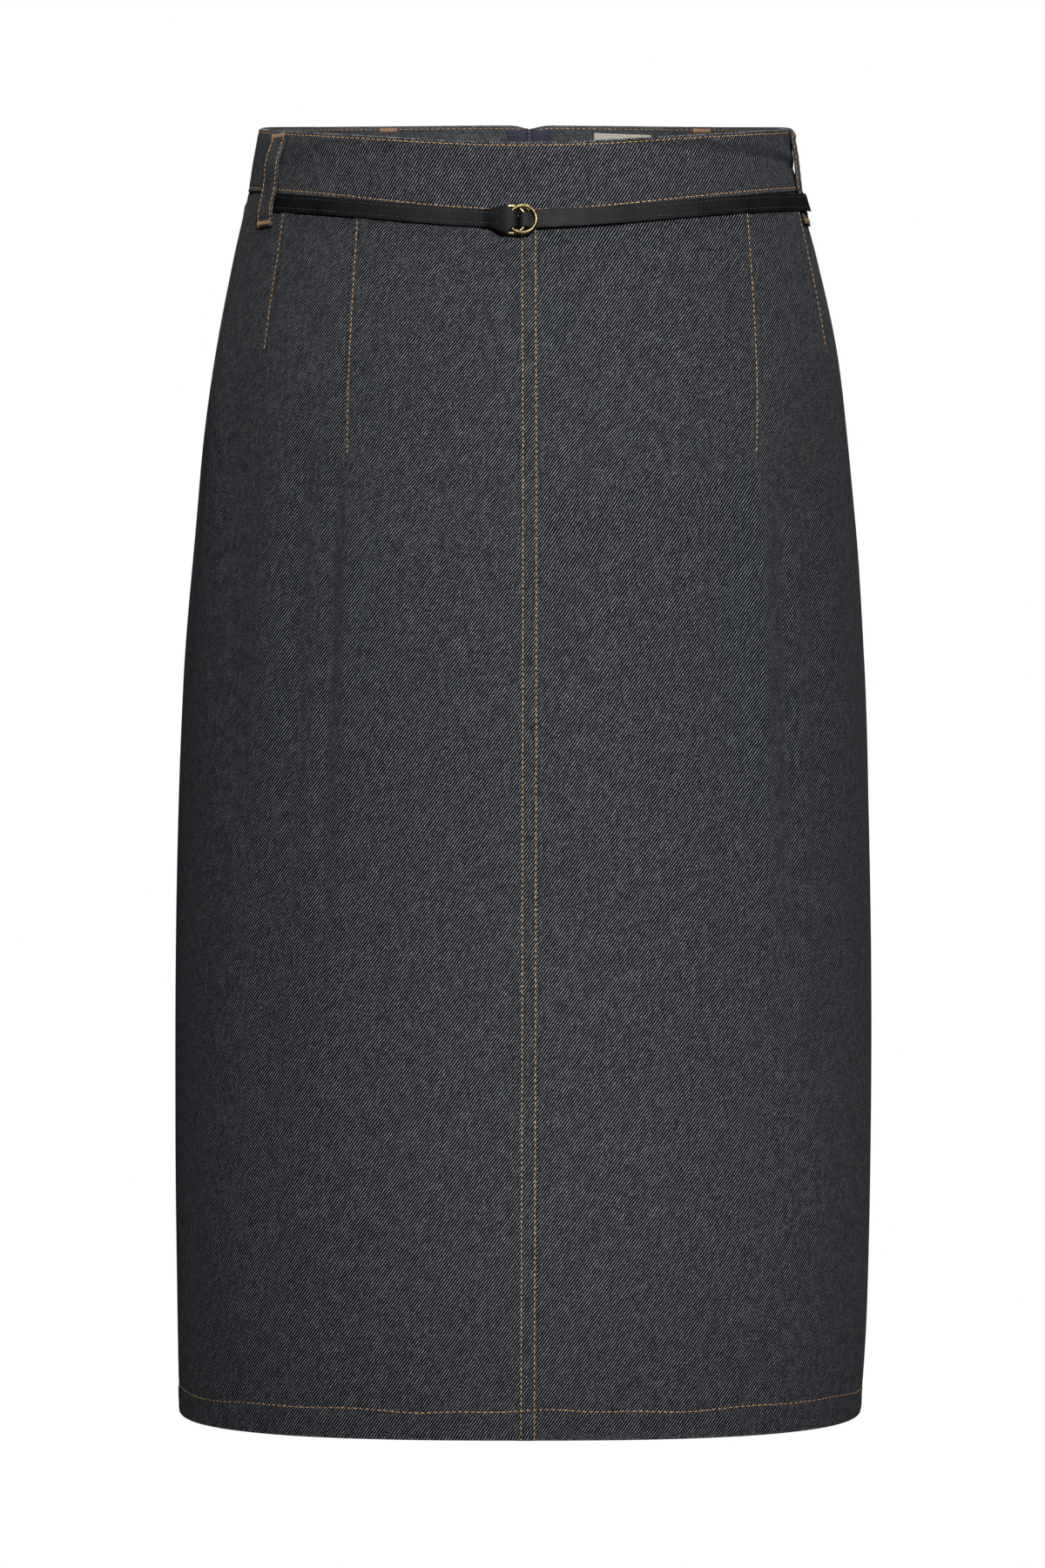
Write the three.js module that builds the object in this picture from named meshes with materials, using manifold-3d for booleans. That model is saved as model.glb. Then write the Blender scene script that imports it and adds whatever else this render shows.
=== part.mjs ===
// A midi-length denim skirt, filled out as worn, with a thin leather belt at the front.
// Millimetres. +Z is up, -Y is the front, +X is the right-hand side seen from the front.
// The origin is the middle of the waist.
// "turn" is the angle round the body in degrees: 0 is the centre front, 90 the side on +X, 180 the
// centre back. "out" is how far a point stands off the cloth's outer face, measured level.
import * as THREE from "three";
import { mergeVertices } from "three/addons/utils/BufferGeometryUtils.js";
import Module from "manifold-3d";

// Walls and gaps
const PANEL_WALL = 1.6;
const HEM_WALL = 2.8;
const BAND_WALL = 3.0;
const BAND_PROUD = 0.8;
const SEAM_GAP = 0.3;

// Panels and seams
const HEM_Z = -668.3;
const HEM_HEIGHT = 15;
const SIDE_SEAM_TURN = { left: -98, right: 100 };
const FRONT_SEAM_TURN = { top: 4.2, hem: 3.3 };
const LAP = { width: 9, slope: 3, rise: 0.7 };
const PANEL_ROWS = 25;
const FRONT_COLUMNS = 22;
const BACK_COLUMNS = 18;
const BAND_COLUMNS = { front: 40, back: 24 };

// The closure at the centre back
const CLOSURE_X = 4;
const CLOSURE_TURN = 177.8;
const CLOSURE_GAP = 1.6;
const CLOSURE_DIP = 1.8;
const CLOSURE_DIP_WIDTH = 6;
const ZIP_FOOT_Z = -165;
const TAPE_WIDTH = 12;
const TAPE_WALL = 0.8;
const TAPE_BELOW_EDGE = 1.2;
const SLIDER_Z = 15;
const SLIDER_BODY = { width: 6.4, end: 3.84, depth: 2.4, height: 11, shoulder: 2, rise: 1 };
const SLIDER_NECK = { wall: 1.0, root: 0.5, top: 4.4, foot: -1.9, behind: 3.4 };
const BAIL = { outer: 2.3, inner: 1.2 };
const PULL = { width: 4.6, waist: 3.2, length: 21, wall: 1.2, bar: 1.2, eye: 2.2, standOff: 0.5 };
const PULL_NARROWS = { from: -3.4, bend: -5.5, narrow: -8, widens: -13 };

// Belt loops: a strip of denim, fixed at its head and foot and standing off between them
const LOOP_WIDTH = 14;
const LOOP_WALL = 1.3;
const LOOP_BELOW_EDGE = 1.5;
const LOOP_LENGTH = 50;

// Belt: a strap each side, and two rings
const STRAP_WALL = 1.1;
const STRAP_HALF = 4.75;
const STRAP_NECK_HALF = 3.5;
const STRAP_BELOW_SEAM = { front: 3.0, side: 6.6 };
const STRAP_ON_BAND = { from: 0.35, to: 0.65 };
const RING_RADIUS = 7.05;
const RING_WIRE = 0.95;
const RING_Z = -43.2;
const RING_STACK = [
  { name: "belt_ring_left", along: -5.3, leftOut: 2.45, rightOut: 2.45 },
  { name: "belt_ring_right", along: 0, leftOut: 4.3, rightOut: 5.2 },
];

// The inside label
const LABEL = { from: 39, to: 76, top: 33, fall: 2.4, height: 24, wall: 0.8, depthShare: 0.93 };

// Half-widths and half-depths of the outer face, with how square each half's corners are.
const SECTIONS = [
  { z: 44, left: 139.5, right: 143.3, front: 102, back: 101.5, frontCorner: 2.25, backCorner: 2.2 },
  { z: 20, left: 141.2, right: 144.5, front: 102, back: 103.5, frontCorner: 2.25, backCorner: 2.2 },
  { z: 0, left: 144.6, right: 145.0, front: 103.2, back: 106.5, frontCorner: 2.25, backCorner: 2.2 },
  { z: -12, left: 146.6, right: 147.6, front: 104.4, back: 109.2, frontCorner: 2.27, backCorner: 2.2 },
  { z: -28, left: 150.4, right: 152.2, front: 106, back: 113, frontCorner: 2.3, backCorner: 2.22 },
  { z: -51, left: 155.6, right: 158.5, front: 108.5, back: 119, frontCorner: 2.3, backCorner: 2.25 },
  { z: -98, left: 164.5, right: 168.7, front: 113, back: 130, frontCorner: 2.38, backCorner: 2.28 },
  { z: -145, left: 171.1, right: 174.4, front: 116.8, back: 137.5, frontCorner: 2.47, backCorner: 2.3 },
  { z: -192, left: 175.3, right: 178.1, front: 119.5, back: 141.3, frontCorner: 2.53, backCorner: 2.32 },
  { z: -239, left: 179.1, right: 181.0, front: 121.2, back: 141.3, frontCorner: 2.57, backCorner: 2.35 },
  { z: -286, left: 181.6, right: 183.3, front: 122.3, back: 139.2, frontCorner: 2.6, backCorner: 2.4 },
  { z: -333, left: 183.4, right: 184.8, front: 123.1, back: 136.8, frontCorner: 2.62, backCorner: 2.42 },
  { z: -427, left: 185.7, right: 187.1, front: 124.2, back: 133.2, frontCorner: 2.64, backCorner: 2.46 },
  { z: -521, left: 186.3, right: 186.9, front: 124.8, back: 131, frontCorner: 2.65, backCorner: 2.5 },
  { z: -615, left: 185.2, right: 184.8, front: 125, back: 129.6, frontCorner: 2.65, backCorner: 2.5 },
  { z: -669, left: 184.2, right: 181.4, front: 125, back: 129, frontCorner: 2.65, backCorner: 2.5 },
];

// The largest soft folds. A rise above zero is a ridge, below zero a trough. Each swells from its
// head over the first share of its length and dies away over the last.
const FOLD_SWELL = 0.25;
const FOLD_FADE = 0.6;
const FOLD_REACH = 0.8;
const FOLDS = [
  { at: "left inner dart", headTurn: -41, footTurn: -38.6, head: -118, foot: -420, width: 7, rise: -2.6 },
  { at: "left outer dart", headTurn: -63, footTurn: -57.5, head: -95, foot: -450, width: 9, rise: -2.6 },
  { at: "left hip", headTurn: -74, footTurn: -71, head: -60, foot: -250, width: 9, rise: 1.6 },
  { at: "right inner dart", headTurn: 52, footTurn: 49, head: -80, foot: -330, width: 9, rise: 1.9 },
  { at: "right of centre", headTurn: 44, footTurn: 43, head: -200, foot: -400, width: 10, rise: -1.2 },
  { at: "right outer dart", headTurn: 66, footTurn: 59, head: -110, foot: -420, width: 9, rise: -2.8 },
  { at: "left of centre", headTurn: -49, footTurn: -47, head: -150, foot: -480, width: 8, rise: -1.6 },
  { at: "right hip", headTurn: 58.5, footTurn: 55.5, head: -130, foot: -470, width: 7, rise: -2.0 },
  { at: "back left inner", headTurn: -146, footTurn: -149, head: -115, foot: -430, width: 9, rise: -2.2 },
  { at: "back left outer", headTurn: -118, footTurn: -121, head: -100, foot: -330, width: 9, rise: -1.8 },
  { at: "back right inner", headTurn: 143, footTurn: 146, head: -120, foot: -370, width: 10, rise: -2.0 },
  { at: "back right outer", headTurn: 116, footTurn: 121, head: -95, foot: -450, width: 9, rise: -2.3 },
];

// How far a loop's inner face stands off the cloth, by share of its length from the head. The left
// front loop passes over its strap, and the others lie close to the cloth at that height.
const LOOP_OVER_STRAP = [
  { share: 0, out: 1.1 },
  { share: 0.08, out: 1.4 },
  { share: 0.24, out: 3.1 },
  { share: 0.36, out: 3.5 },
  { share: 0.5, out: 2.5 },
  { share: 0.6, out: 1.95 },
  { share: 0.84, out: 1.95 },
  { share: 0.93, out: 1.0 },
  { share: 1, out: 0.3 },
];
const LOOP_CLOSE = [
  { share: 0, out: 1.1 },
  { share: 0.08, out: 1.4 },
  { share: 0.24, out: 2.7 },
  { share: 0.36, out: 2.9 },
  { share: 0.5, out: 2.1 },
  { share: 0.6, out: 1.35 },
  { share: 0.7, out: 1.15 },
  { share: 0.8, out: 0.6 },
  { share: 0.9, out: 0.35 },
  { share: 1, out: 0.3 },
];

const LOOPS = [
  { name: "loop_front_left", headTurn: -66.8, footTurn: -66.2, standOff: LOOP_OVER_STRAP },
  { name: "loop_front_right", headTurn: 82, footTurn: 79, standOff: LOOP_CLOSE },
  { name: "loop_back_left", headTurn: -139.7, footTurn: -139, standOff: LOOP_CLOSE },
  { name: "loop_back_right", headTurn: 127.4, footTurn: 127, standOff: LOOP_CLOSE },
];

// Strap routes: how far along the front from the centre, and how far the strap's middle stands off.
const LEFT_TAB = [
  { along: -60, out: 0.85, half: STRAP_HALF, drop: 0 },
  { along: -40, out: 0.85, half: STRAP_HALF, drop: 0 },
  { along: -21, out: 0.85, half: STRAP_HALF, drop: 0 },
  { along: -18.6, out: 1.6, half: STRAP_HALF, drop: 0 },
  { along: -16.5, out: 2.6, half: STRAP_HALF, drop: 0 },
  { along: -14.4, out: 3.6, half: 5.4, drop: 0.2 },
  { along: -12.2, out: 4.4, half: 6.4, drop: 0.4 },
  { along: -10, out: 5.3, half: 7.0, drop: 0.5 },
  { along: -8, out: 6.0, half: 7.0, drop: 0.6 },
  { along: -6.8, out: 6.1, half: 6.2, drop: 0.7 },
];
const LEFT_TAB_HALF = 4.4;
const LEFT_TAB_FOLD = { along: -5.4, low: 0.85, high: 6.1, lowDrop: 0.7, highDrop: 0.7 };
const LEFT_TAB_RETURN = [-8, -12, -16.6];
const STRAP_ON_CLOTH = 0.85;
const STRAP_STEP = { left: 9, right: 12 };

const RIGHT_TAIL = [
  { along: 47, half: 4.2, drop: 0 },
  { along: 32, half: 4.2, drop: 0 },
  { along: 18, half: 4.2, drop: 0.2 },
  { along: 8, half: 4.2, drop: 0.9 },
  { along: 3, half: STRAP_NECK_HALF, drop: 1.7 },
];
const RIGHT_RING_FOLD = { along: 0.2, low: 0.85, high: 4.05, lowDrop: 1.7, highDrop: 0.7 };
const RIGHT_FRONT = [
  { along: 2.4, out: 4.05, half: 4.0, drop: 0.7 },
  { along: 3.6, out: 3.5, half: 4.2, drop: 0.6 },
  { along: 5.2, out: 2.8, half: 4.5, drop: 0.4 },
  { along: 7.2, out: 2.35, half: STRAP_HALF, drop: 0.2 },
  { along: 12, out: 2.25, half: STRAP_HALF, drop: 0 },
  { along: 30, out: 2.25, half: STRAP_HALF, drop: 0 },
  { along: 49, out: 2.25, half: STRAP_HALF, drop: 0 },
  { along: 54, out: 0.95, half: STRAP_HALF, drop: 0 },
  { along: 66, out: 0.85, half: STRAP_HALF, drop: 0 },
];

// The right strap's end, measured from its loop's middle: up over the loop, where it is sewn down.
const RIGHT_LOOP_OVER = [
  { past: -13.5, out: 0.95 },
  { past: -11, out: 1.9 },
  { past: -8.8, out: 3.4 },
  { past: -6.5, out: 3.65 },
  { past: 0, out: 3.65 },
  { past: 5, out: 3.65 },
  { past: 8, out: 3.45 },
];
const LOOP_MIDDLE = 0.7;

const COLOURS = {
  denim: { color: 0x2b2c31, roughness: 0.9, metalness: 0 },
  leather: { color: 0x151415, roughness: 0.5, metalness: 0 },
  brass: { color: 0x7d6c40, roughness: 0.35, metalness: 1 },
  navy: { color: 0x1b1d2c, roughness: 0.85, metalness: 0 },
  label: { color: 0x97948a, roughness: 0.9, metalness: 0 },
};

const radians = (degrees) => (degrees * Math.PI) / 180;
const mix = (a, b, share) => a + (b - a) * share;
const smooth = (share) => {
  const s = Math.min(1, Math.max(0, share));
  return s * s * (3 - 2 * s);
};

// A smooth curve through one column of a table, read at a value of its key column.
function read(table, key, column, at) {
  const falling = table[0][key] > table[table.length - 1][key];
  const rows = falling ? [...table].reverse() : table;
  const last = rows.length - 1;
  const value = Math.min(rows[last][key], Math.max(rows[0][key], at));
  let i = 0;
  while (i < last - 1 && rows[i + 1][key] < value) i += 1;
  const slopeAt = (k) => {
    const a = rows[Math.max(0, k - 1)];
    const b = rows[Math.min(last, k + 1)];
    return (b[column] - a[column]) / (b[key] - a[key]);
  };
  const step = rows[i + 1][key] - rows[i][key];
  const t = (value - rows[i][key]) / step;
  const rise = rows[i + 1][column] - rows[i][column];
  const start = slopeAt(i) * step;
  const end = slopeAt(i + 1) * step;
  const square = 3 * rise - 2 * start - end;
  const cube = start + end - 2 * rise;
  return rows[i][column] + t * (start + t * (square + t * cube));
}

// The waist's top edge and the waistband's seam rise from the front to the back.
function topEdge(turn) {
  const c = Math.cos(radians(turn));
  const turnFromClosure = turn < 0 ? turn + 360 - CLOSURE_TURN : CLOSURE_TURN - turn;
  const fromClosure = radians(turnFromClosure) * SECTIONS[1].back;
  const dip = CLOSURE_DIP * Math.exp(-((fromClosure / CLOSURE_DIP_WIDTH) ** 2));
  return 21 - 25.5 * c + (c > 0 ? 2.5 : -8.5) * c * c - dip;
}

function bandSeam(turn) {
  const c = Math.cos(radians(turn));
  return -13.5 - 18 * c - (c > 0 ? 8 : 1.5) * c * c;
}

// Soft folds, as a level rise of the outer face.
function relief(turn, z) {
  const reach = read(SECTIONS, "z", "left", z) * FOLD_REACH;
  let rise = 0;
  for (const fold of FOLDS) {
    const share = (fold.head - z) / (fold.head - fold.foot);
    if (share > 0 && share < 1) {
      const offset = (radians(turn - mix(fold.headTurn, fold.footTurn, share)) * reach) / fold.width;
      const strength = smooth(share / FOLD_SWELL) * smooth((1 - share) / FOLD_FADE);
      rise += fold.rise * strength * Math.exp(-offset * offset);
    }
  }
  return rise;
}

// A point of the cloth's outer face, with its level normal.
function ringPoint(turn, z) {
  const angle = radians(turn);
  const sine = Math.sin(angle);
  const cosine = Math.cos(angle);
  const half = read(SECTIONS, "z", sine < 0 ? "left" : "right", z);
  const depth = read(SECTIONS, "z", cosine > 0 ? "front" : "back", z);
  const corner = read(SECTIONS, "z", cosine > 0 ? "frontCorner" : "backCorner", z);
  const radius = (Math.abs(sine / half) ** corner + Math.abs(cosine / depth) ** corner) ** (-1 / corner);
  return new THREE.Vector2(radius * sine, -radius * cosine);
}

function clothPoint(turn, z, out) {
  const point = ringPoint(turn, z);
  const ahead = ringPoint(turn + 0.5, z);
  const behind = ringPoint(turn - 0.5, z);
  const normal = new THREE.Vector2(ahead.y - behind.y, behind.x - ahead.x).normalize();
  point.addScaledVector(normal, out + relief(turn, z));
  return new THREE.Vector3(point.x, point.y, z);
}

// A closed wall between two grids of points, outer(i, j) and inner(i, j), i across and j down.
function wall(columns, rows, outer, inner) {
  const points = [];
  for (const side of [outer, inner]) {
    for (let j = 0; j <= rows; j += 1) {
      for (let i = 0; i <= columns; i += 1) points.push(side(i, j));
    }
  }
  const count = (columns + 1) * (rows + 1);
  const at = (i, j) => j * (columns + 1) + i;
  const faces = [];
  const quad = (a, b, c, d) => faces.push(a, b, c, a, c, d);
  for (let j = 0; j < rows; j += 1) {
    for (let i = 0; i < columns; i += 1) {
      quad(at(i, j), at(i, j + 1), at(i + 1, j + 1), at(i + 1, j));
      quad(count + at(i, j), count + at(i + 1, j), count + at(i + 1, j + 1), count + at(i, j + 1));
    }
    quad(at(0, j), count + at(0, j), count + at(0, j + 1), at(0, j + 1));
    quad(at(columns, j), at(columns, j + 1), count + at(columns, j + 1), count + at(columns, j));
  }
  for (let i = 0; i < columns; i += 1) {
    quad(at(i, 0), at(i + 1, 0), count + at(i + 1, 0), count + at(i, 0));
    quad(at(i, rows), count + at(i, rows), count + at(i + 1, rows), at(i + 1, rows));
  }
  const geometry = new THREE.BufferGeometry().setFromPoints(points);
  geometry.setIndex(faces);
  geometry.computeVertexNormals();
  return geometry;
}

// Two closed shapes that overlap, joined into one.
const wasm = await Module();
wasm.setup();

function solid(geometry) {
  const bare = geometry.clone();
  bare.deleteAttribute("normal");
  bare.deleteAttribute("uv");
  const merged = mergeVertices(bare, 1e-4);
  return new wasm.Manifold(
    new wasm.Mesh({
      numProp: 3,
      vertProperties: merged.attributes.position.array,
      triVerts: new Uint32Array(merged.index.array),
    }),
  );
}

function joined(first, second) {
  const mesh = solid(first).add(solid(second)).getMesh();
  const geometry = new THREE.BufferGeometry();
  geometry.setAttribute("position", new THREE.BufferAttribute(new Float32Array(mesh.vertProperties), 3));
  geometry.setIndex(Array.from(mesh.triVerts));
  geometry.computeVertexNormals();
  return geometry;
}

const skirt = new THREE.Group();
const materials = {};
for (const [name, look] of Object.entries(COLOURS)) materials[name] = new THREE.MeshStandardMaterial(look);

function add(name, geometry, material, parent = skirt) {
  const mesh = new THREE.Mesh(geometry, materials[material]);
  mesh.name = name;
  parent.add(mesh);
  return mesh;
}

// Half a gap as a turn, at a given half-depth.
const gapTurn = (gap, radius) => (Math.asin(gap / 2 / radius) * 180) / Math.PI;
const SEAM_TURN = gapTurn(SEAM_GAP, SECTIONS[2].front);
const CLOSURE_HALF_TURN = gapTurn(CLOSURE_GAP, SECTIONS[2].back);

// Panels: from one long edge to the other, from the waistband's seam to the folded hem.
const panelEdge = {
  leftSide: () => SIDE_SEAM_TURN.left,
  rightSide: () => SIDE_SEAM_TURN.right,
  front: (share) => mix(FRONT_SEAM_TURN.top, FRONT_SEAM_TURN.hem, share),
  backFromLeft: () => CLOSURE_TURN - 360,
  backFromRight: () => CLOSURE_TURN,
};

function panel(name, columns, fromEdge, toEdge, lapped) {
  const foldZ = HEM_Z + HEM_HEIGHT;
  const spot = (i, j, wallOut) => {
    const share = j / PANEL_ROWS;
    const turn = mix(fromEdge(share) + SEAM_TURN, toEdge(share) - SEAM_TURN, i / columns);
    const top = bandSeam(turn) - SEAM_GAP / 2;
    const heights = [foldZ + 1, foldZ, HEM_Z];
    const plain = PANEL_ROWS - 2;
    const z = j <= plain ? mix(top, heights[0], j / plain) : heights[j - plain];
    const fromLap = radians(panelEdge.front(share) - turn) * read(SECTIONS, "z", "front", z);
    const lap = lapped ? LAP.rise * smooth((LAP.width + LAP.slope - fromLap) / LAP.slope) : 0;
    const thick = z > foldZ + 0.5 ? PANEL_WALL : HEM_WALL;
    return clothPoint(turn, z, wallOut ? lap : -thick);
  };
  add(name, wall(columns, PANEL_ROWS, (i, j) => spot(i, j, true), (i, j) => spot(i, j, false)), "denim");
}

// Waistband pieces: an outer band and its facing, two layers, a little proud of the panels.
function band(name, columns, fromTurn, toTurn) {
  const rows = 3;
  const spot = (i, j, out) => {
    const turn = mix(fromTurn, toTurn, i / columns);
    const z = mix(topEdge(turn), bandSeam(turn) + SEAM_GAP / 2, j / rows);
    return clothPoint(turn, z, out);
  };
  const inner = BAND_PROUD - BAND_WALL;
  add(name, wall(columns, rows, (i, j) => spot(i, j, BAND_PROUD), (i, j) => spot(i, j, inner)), "denim");
}

// A strip of cloth from the waist's edge down over the band and the head of the panel.
function loop({ name, headTurn, footTurn, standOff }) {
  const stations = 12;
  const spot = (i, j, side) => {
    const share = j / stations;
    const turn = mix(headTurn, footTurn, share);
    const z = topEdge(turn) - LOOP_BELOW_EDGE - share * LOOP_LENGTH;
    const middle = clothPoint(turn, z, read(standOff, "share", "out", share) + side * LOOP_WALL);
    const across = clothPoint(turn + 1, z, 0).sub(clothPoint(turn - 1, z, 0)).normalize();
    return middle.addScaledVector(across, (i - 0.5) * LOOP_WIDTH);
  };
  add(name, wall(1, stations, (i, j) => spot(i, j, 1), (i, j) => spot(i, j, 0)), "denim");
}

// Distances along the belt's line, from the centre front, as turns.
const beltLine = [];
for (let turn = 0, along = 0; turn <= 100; turn += 1) {
  const step = (k) => ringPoint(k, -35);
  if (turn > 0) along += step(turn).distanceTo(step(turn - 1));
  beltLine.push({ turn, along });
}
const beltTurn = (along) => Math.sign(along) * read(beltLine, "along", "turn", Math.abs(along));
const beltAlong = (turn) => Math.sign(turn) * read(beltLine, "turn", "along", Math.abs(turn));

function beltZ(turn) {
  const side = 1 - Math.cos(radians(turn));
  return bandSeam(turn) - mix(STRAP_BELOW_SEAM.front, STRAP_BELOW_SEAM.side, side);
}

// The strap's upper edge lies on the waistband at the front, and below it at the sides.
function strapLift(turn) {
  const { from, to } = STRAP_ON_BAND;
  return BAND_PROUD * smooth((Math.cos(radians(turn)) - from) / (to - from));
}

// A flat strap on edge, along a route of stations in order.
function strap(name, route) {
  const last = route.length - 1;
  const spot = (i, j, face) => {
    const before = route[Math.max(0, j - 1)];
    const after = route[Math.min(last, j + 1)];
    const here = route[j];
    const run = new THREE.Vector2(after.along - before.along, after.out - before.out).normalize();
    const along = here.along - (run.y * face * STRAP_WALL) / 2;
    const out = here.out + (run.x * face * STRAP_WALL) / 2;
    const turn = beltTurn(along);
    const z = beltZ(turn) - here.drop + (i - 0.5) * 2 * here.half;
    return clothPoint(turn, z, out + strapLift(turn));
  };
  add(name, wall(1, last, (i, j) => spot(i, j, 1), (i, j) => spot(i, j, -1)), "leather");
}

// A half turn of strap round a wire or a loop, from one layer to the other.
function fold({ along, low, high, lowDrop, highDrop }, bulge, fromLow, half) {
  const steps = 8;
  const radius = (high - low) / 2;
  const stations = [];
  for (let k = 0; k <= steps; k += 1) {
    const share = fromLow ? k / steps : 1 - k / steps;
    const angle = share * Math.PI;
    stations.push({
      along: along + bulge * radius * Math.sin(angle),
      out: low + radius * (1 - Math.cos(angle)),
      half,
      drop: mix(lowDrop, highDrop, share),
    });
  }
  return stations;
}

function addBelt() {
  const onCloth = (along) => ({ along, out: STRAP_ON_CLOTH, half: STRAP_HALF, drop: 0 });
  const leftStart = beltAlong(LOOPS[0].footTurn) - LOOP_WIDTH / 2 - 1;
  const left = [];
  const leftEnd = LEFT_TAB[0].along - 2;
  for (let along = leftStart; along < leftEnd; along += STRAP_STEP.left) left.push(onCloth(along));
  left.push(...LEFT_TAB);
  left.push(...fold(LEFT_TAB_FOLD, 1, false, LEFT_TAB_HALF));
  for (const along of LEFT_TAB_RETURN) {
    left.push({ along, out: LEFT_TAB_FOLD.low, half: STRAP_NECK_HALF, drop: LEFT_TAB_FOLD.lowDrop });
  }
  strap("belt_strap_left", left);

  const right = [];
  for (const station of RIGHT_TAIL) right.push({ ...station, out: STRAP_ON_CLOTH });
  right.push(...fold(RIGHT_RING_FOLD, -1, true, STRAP_NECK_HALF));
  right.push(...RIGHT_FRONT);
  const middle = beltAlong(mix(LOOPS[1].headTurn, LOOPS[1].footTurn, LOOP_MIDDLE));
  const plainFrom = RIGHT_FRONT[RIGHT_FRONT.length - 1].along + STRAP_STEP.right;
  const plainTo = middle + RIGHT_LOOP_OVER[0].past - 2;
  for (let along = plainFrom; along < plainTo; along += STRAP_STEP.right) right.push(onCloth(along));
  for (const { past, out } of RIGHT_LOOP_OVER) right.push({ ...onCloth(middle + past), out });
  strap("belt_strap_right", right);

  for (const { name, along, leftOut, rightOut } of RING_STACK) {
    const ring = add(name, new THREE.TorusGeometry(RING_RADIUS, RING_WIRE, 8, 28), "brass");
    const turn = beltTurn(along);
    const above = clothPoint(turn, RING_Z + RING_RADIUS, 0);
    const below = clothPoint(turn, RING_Z - RING_RADIUS, 0);
    const lean = Math.atan2(above.y - below.y, 2 * RING_RADIUS);
    const place = clothPoint(turn, RING_Z, (leftOut + rightOut) / 2 + BAND_PROUD);
    ring.position.copy(place);
    ring.rotation.order = "ZXY";
    ring.rotation.set(Math.PI / 2 - lean, 0, -Math.atan2(rightOut - leftOut, 2 * RING_RADIUS));
  }
}

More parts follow.
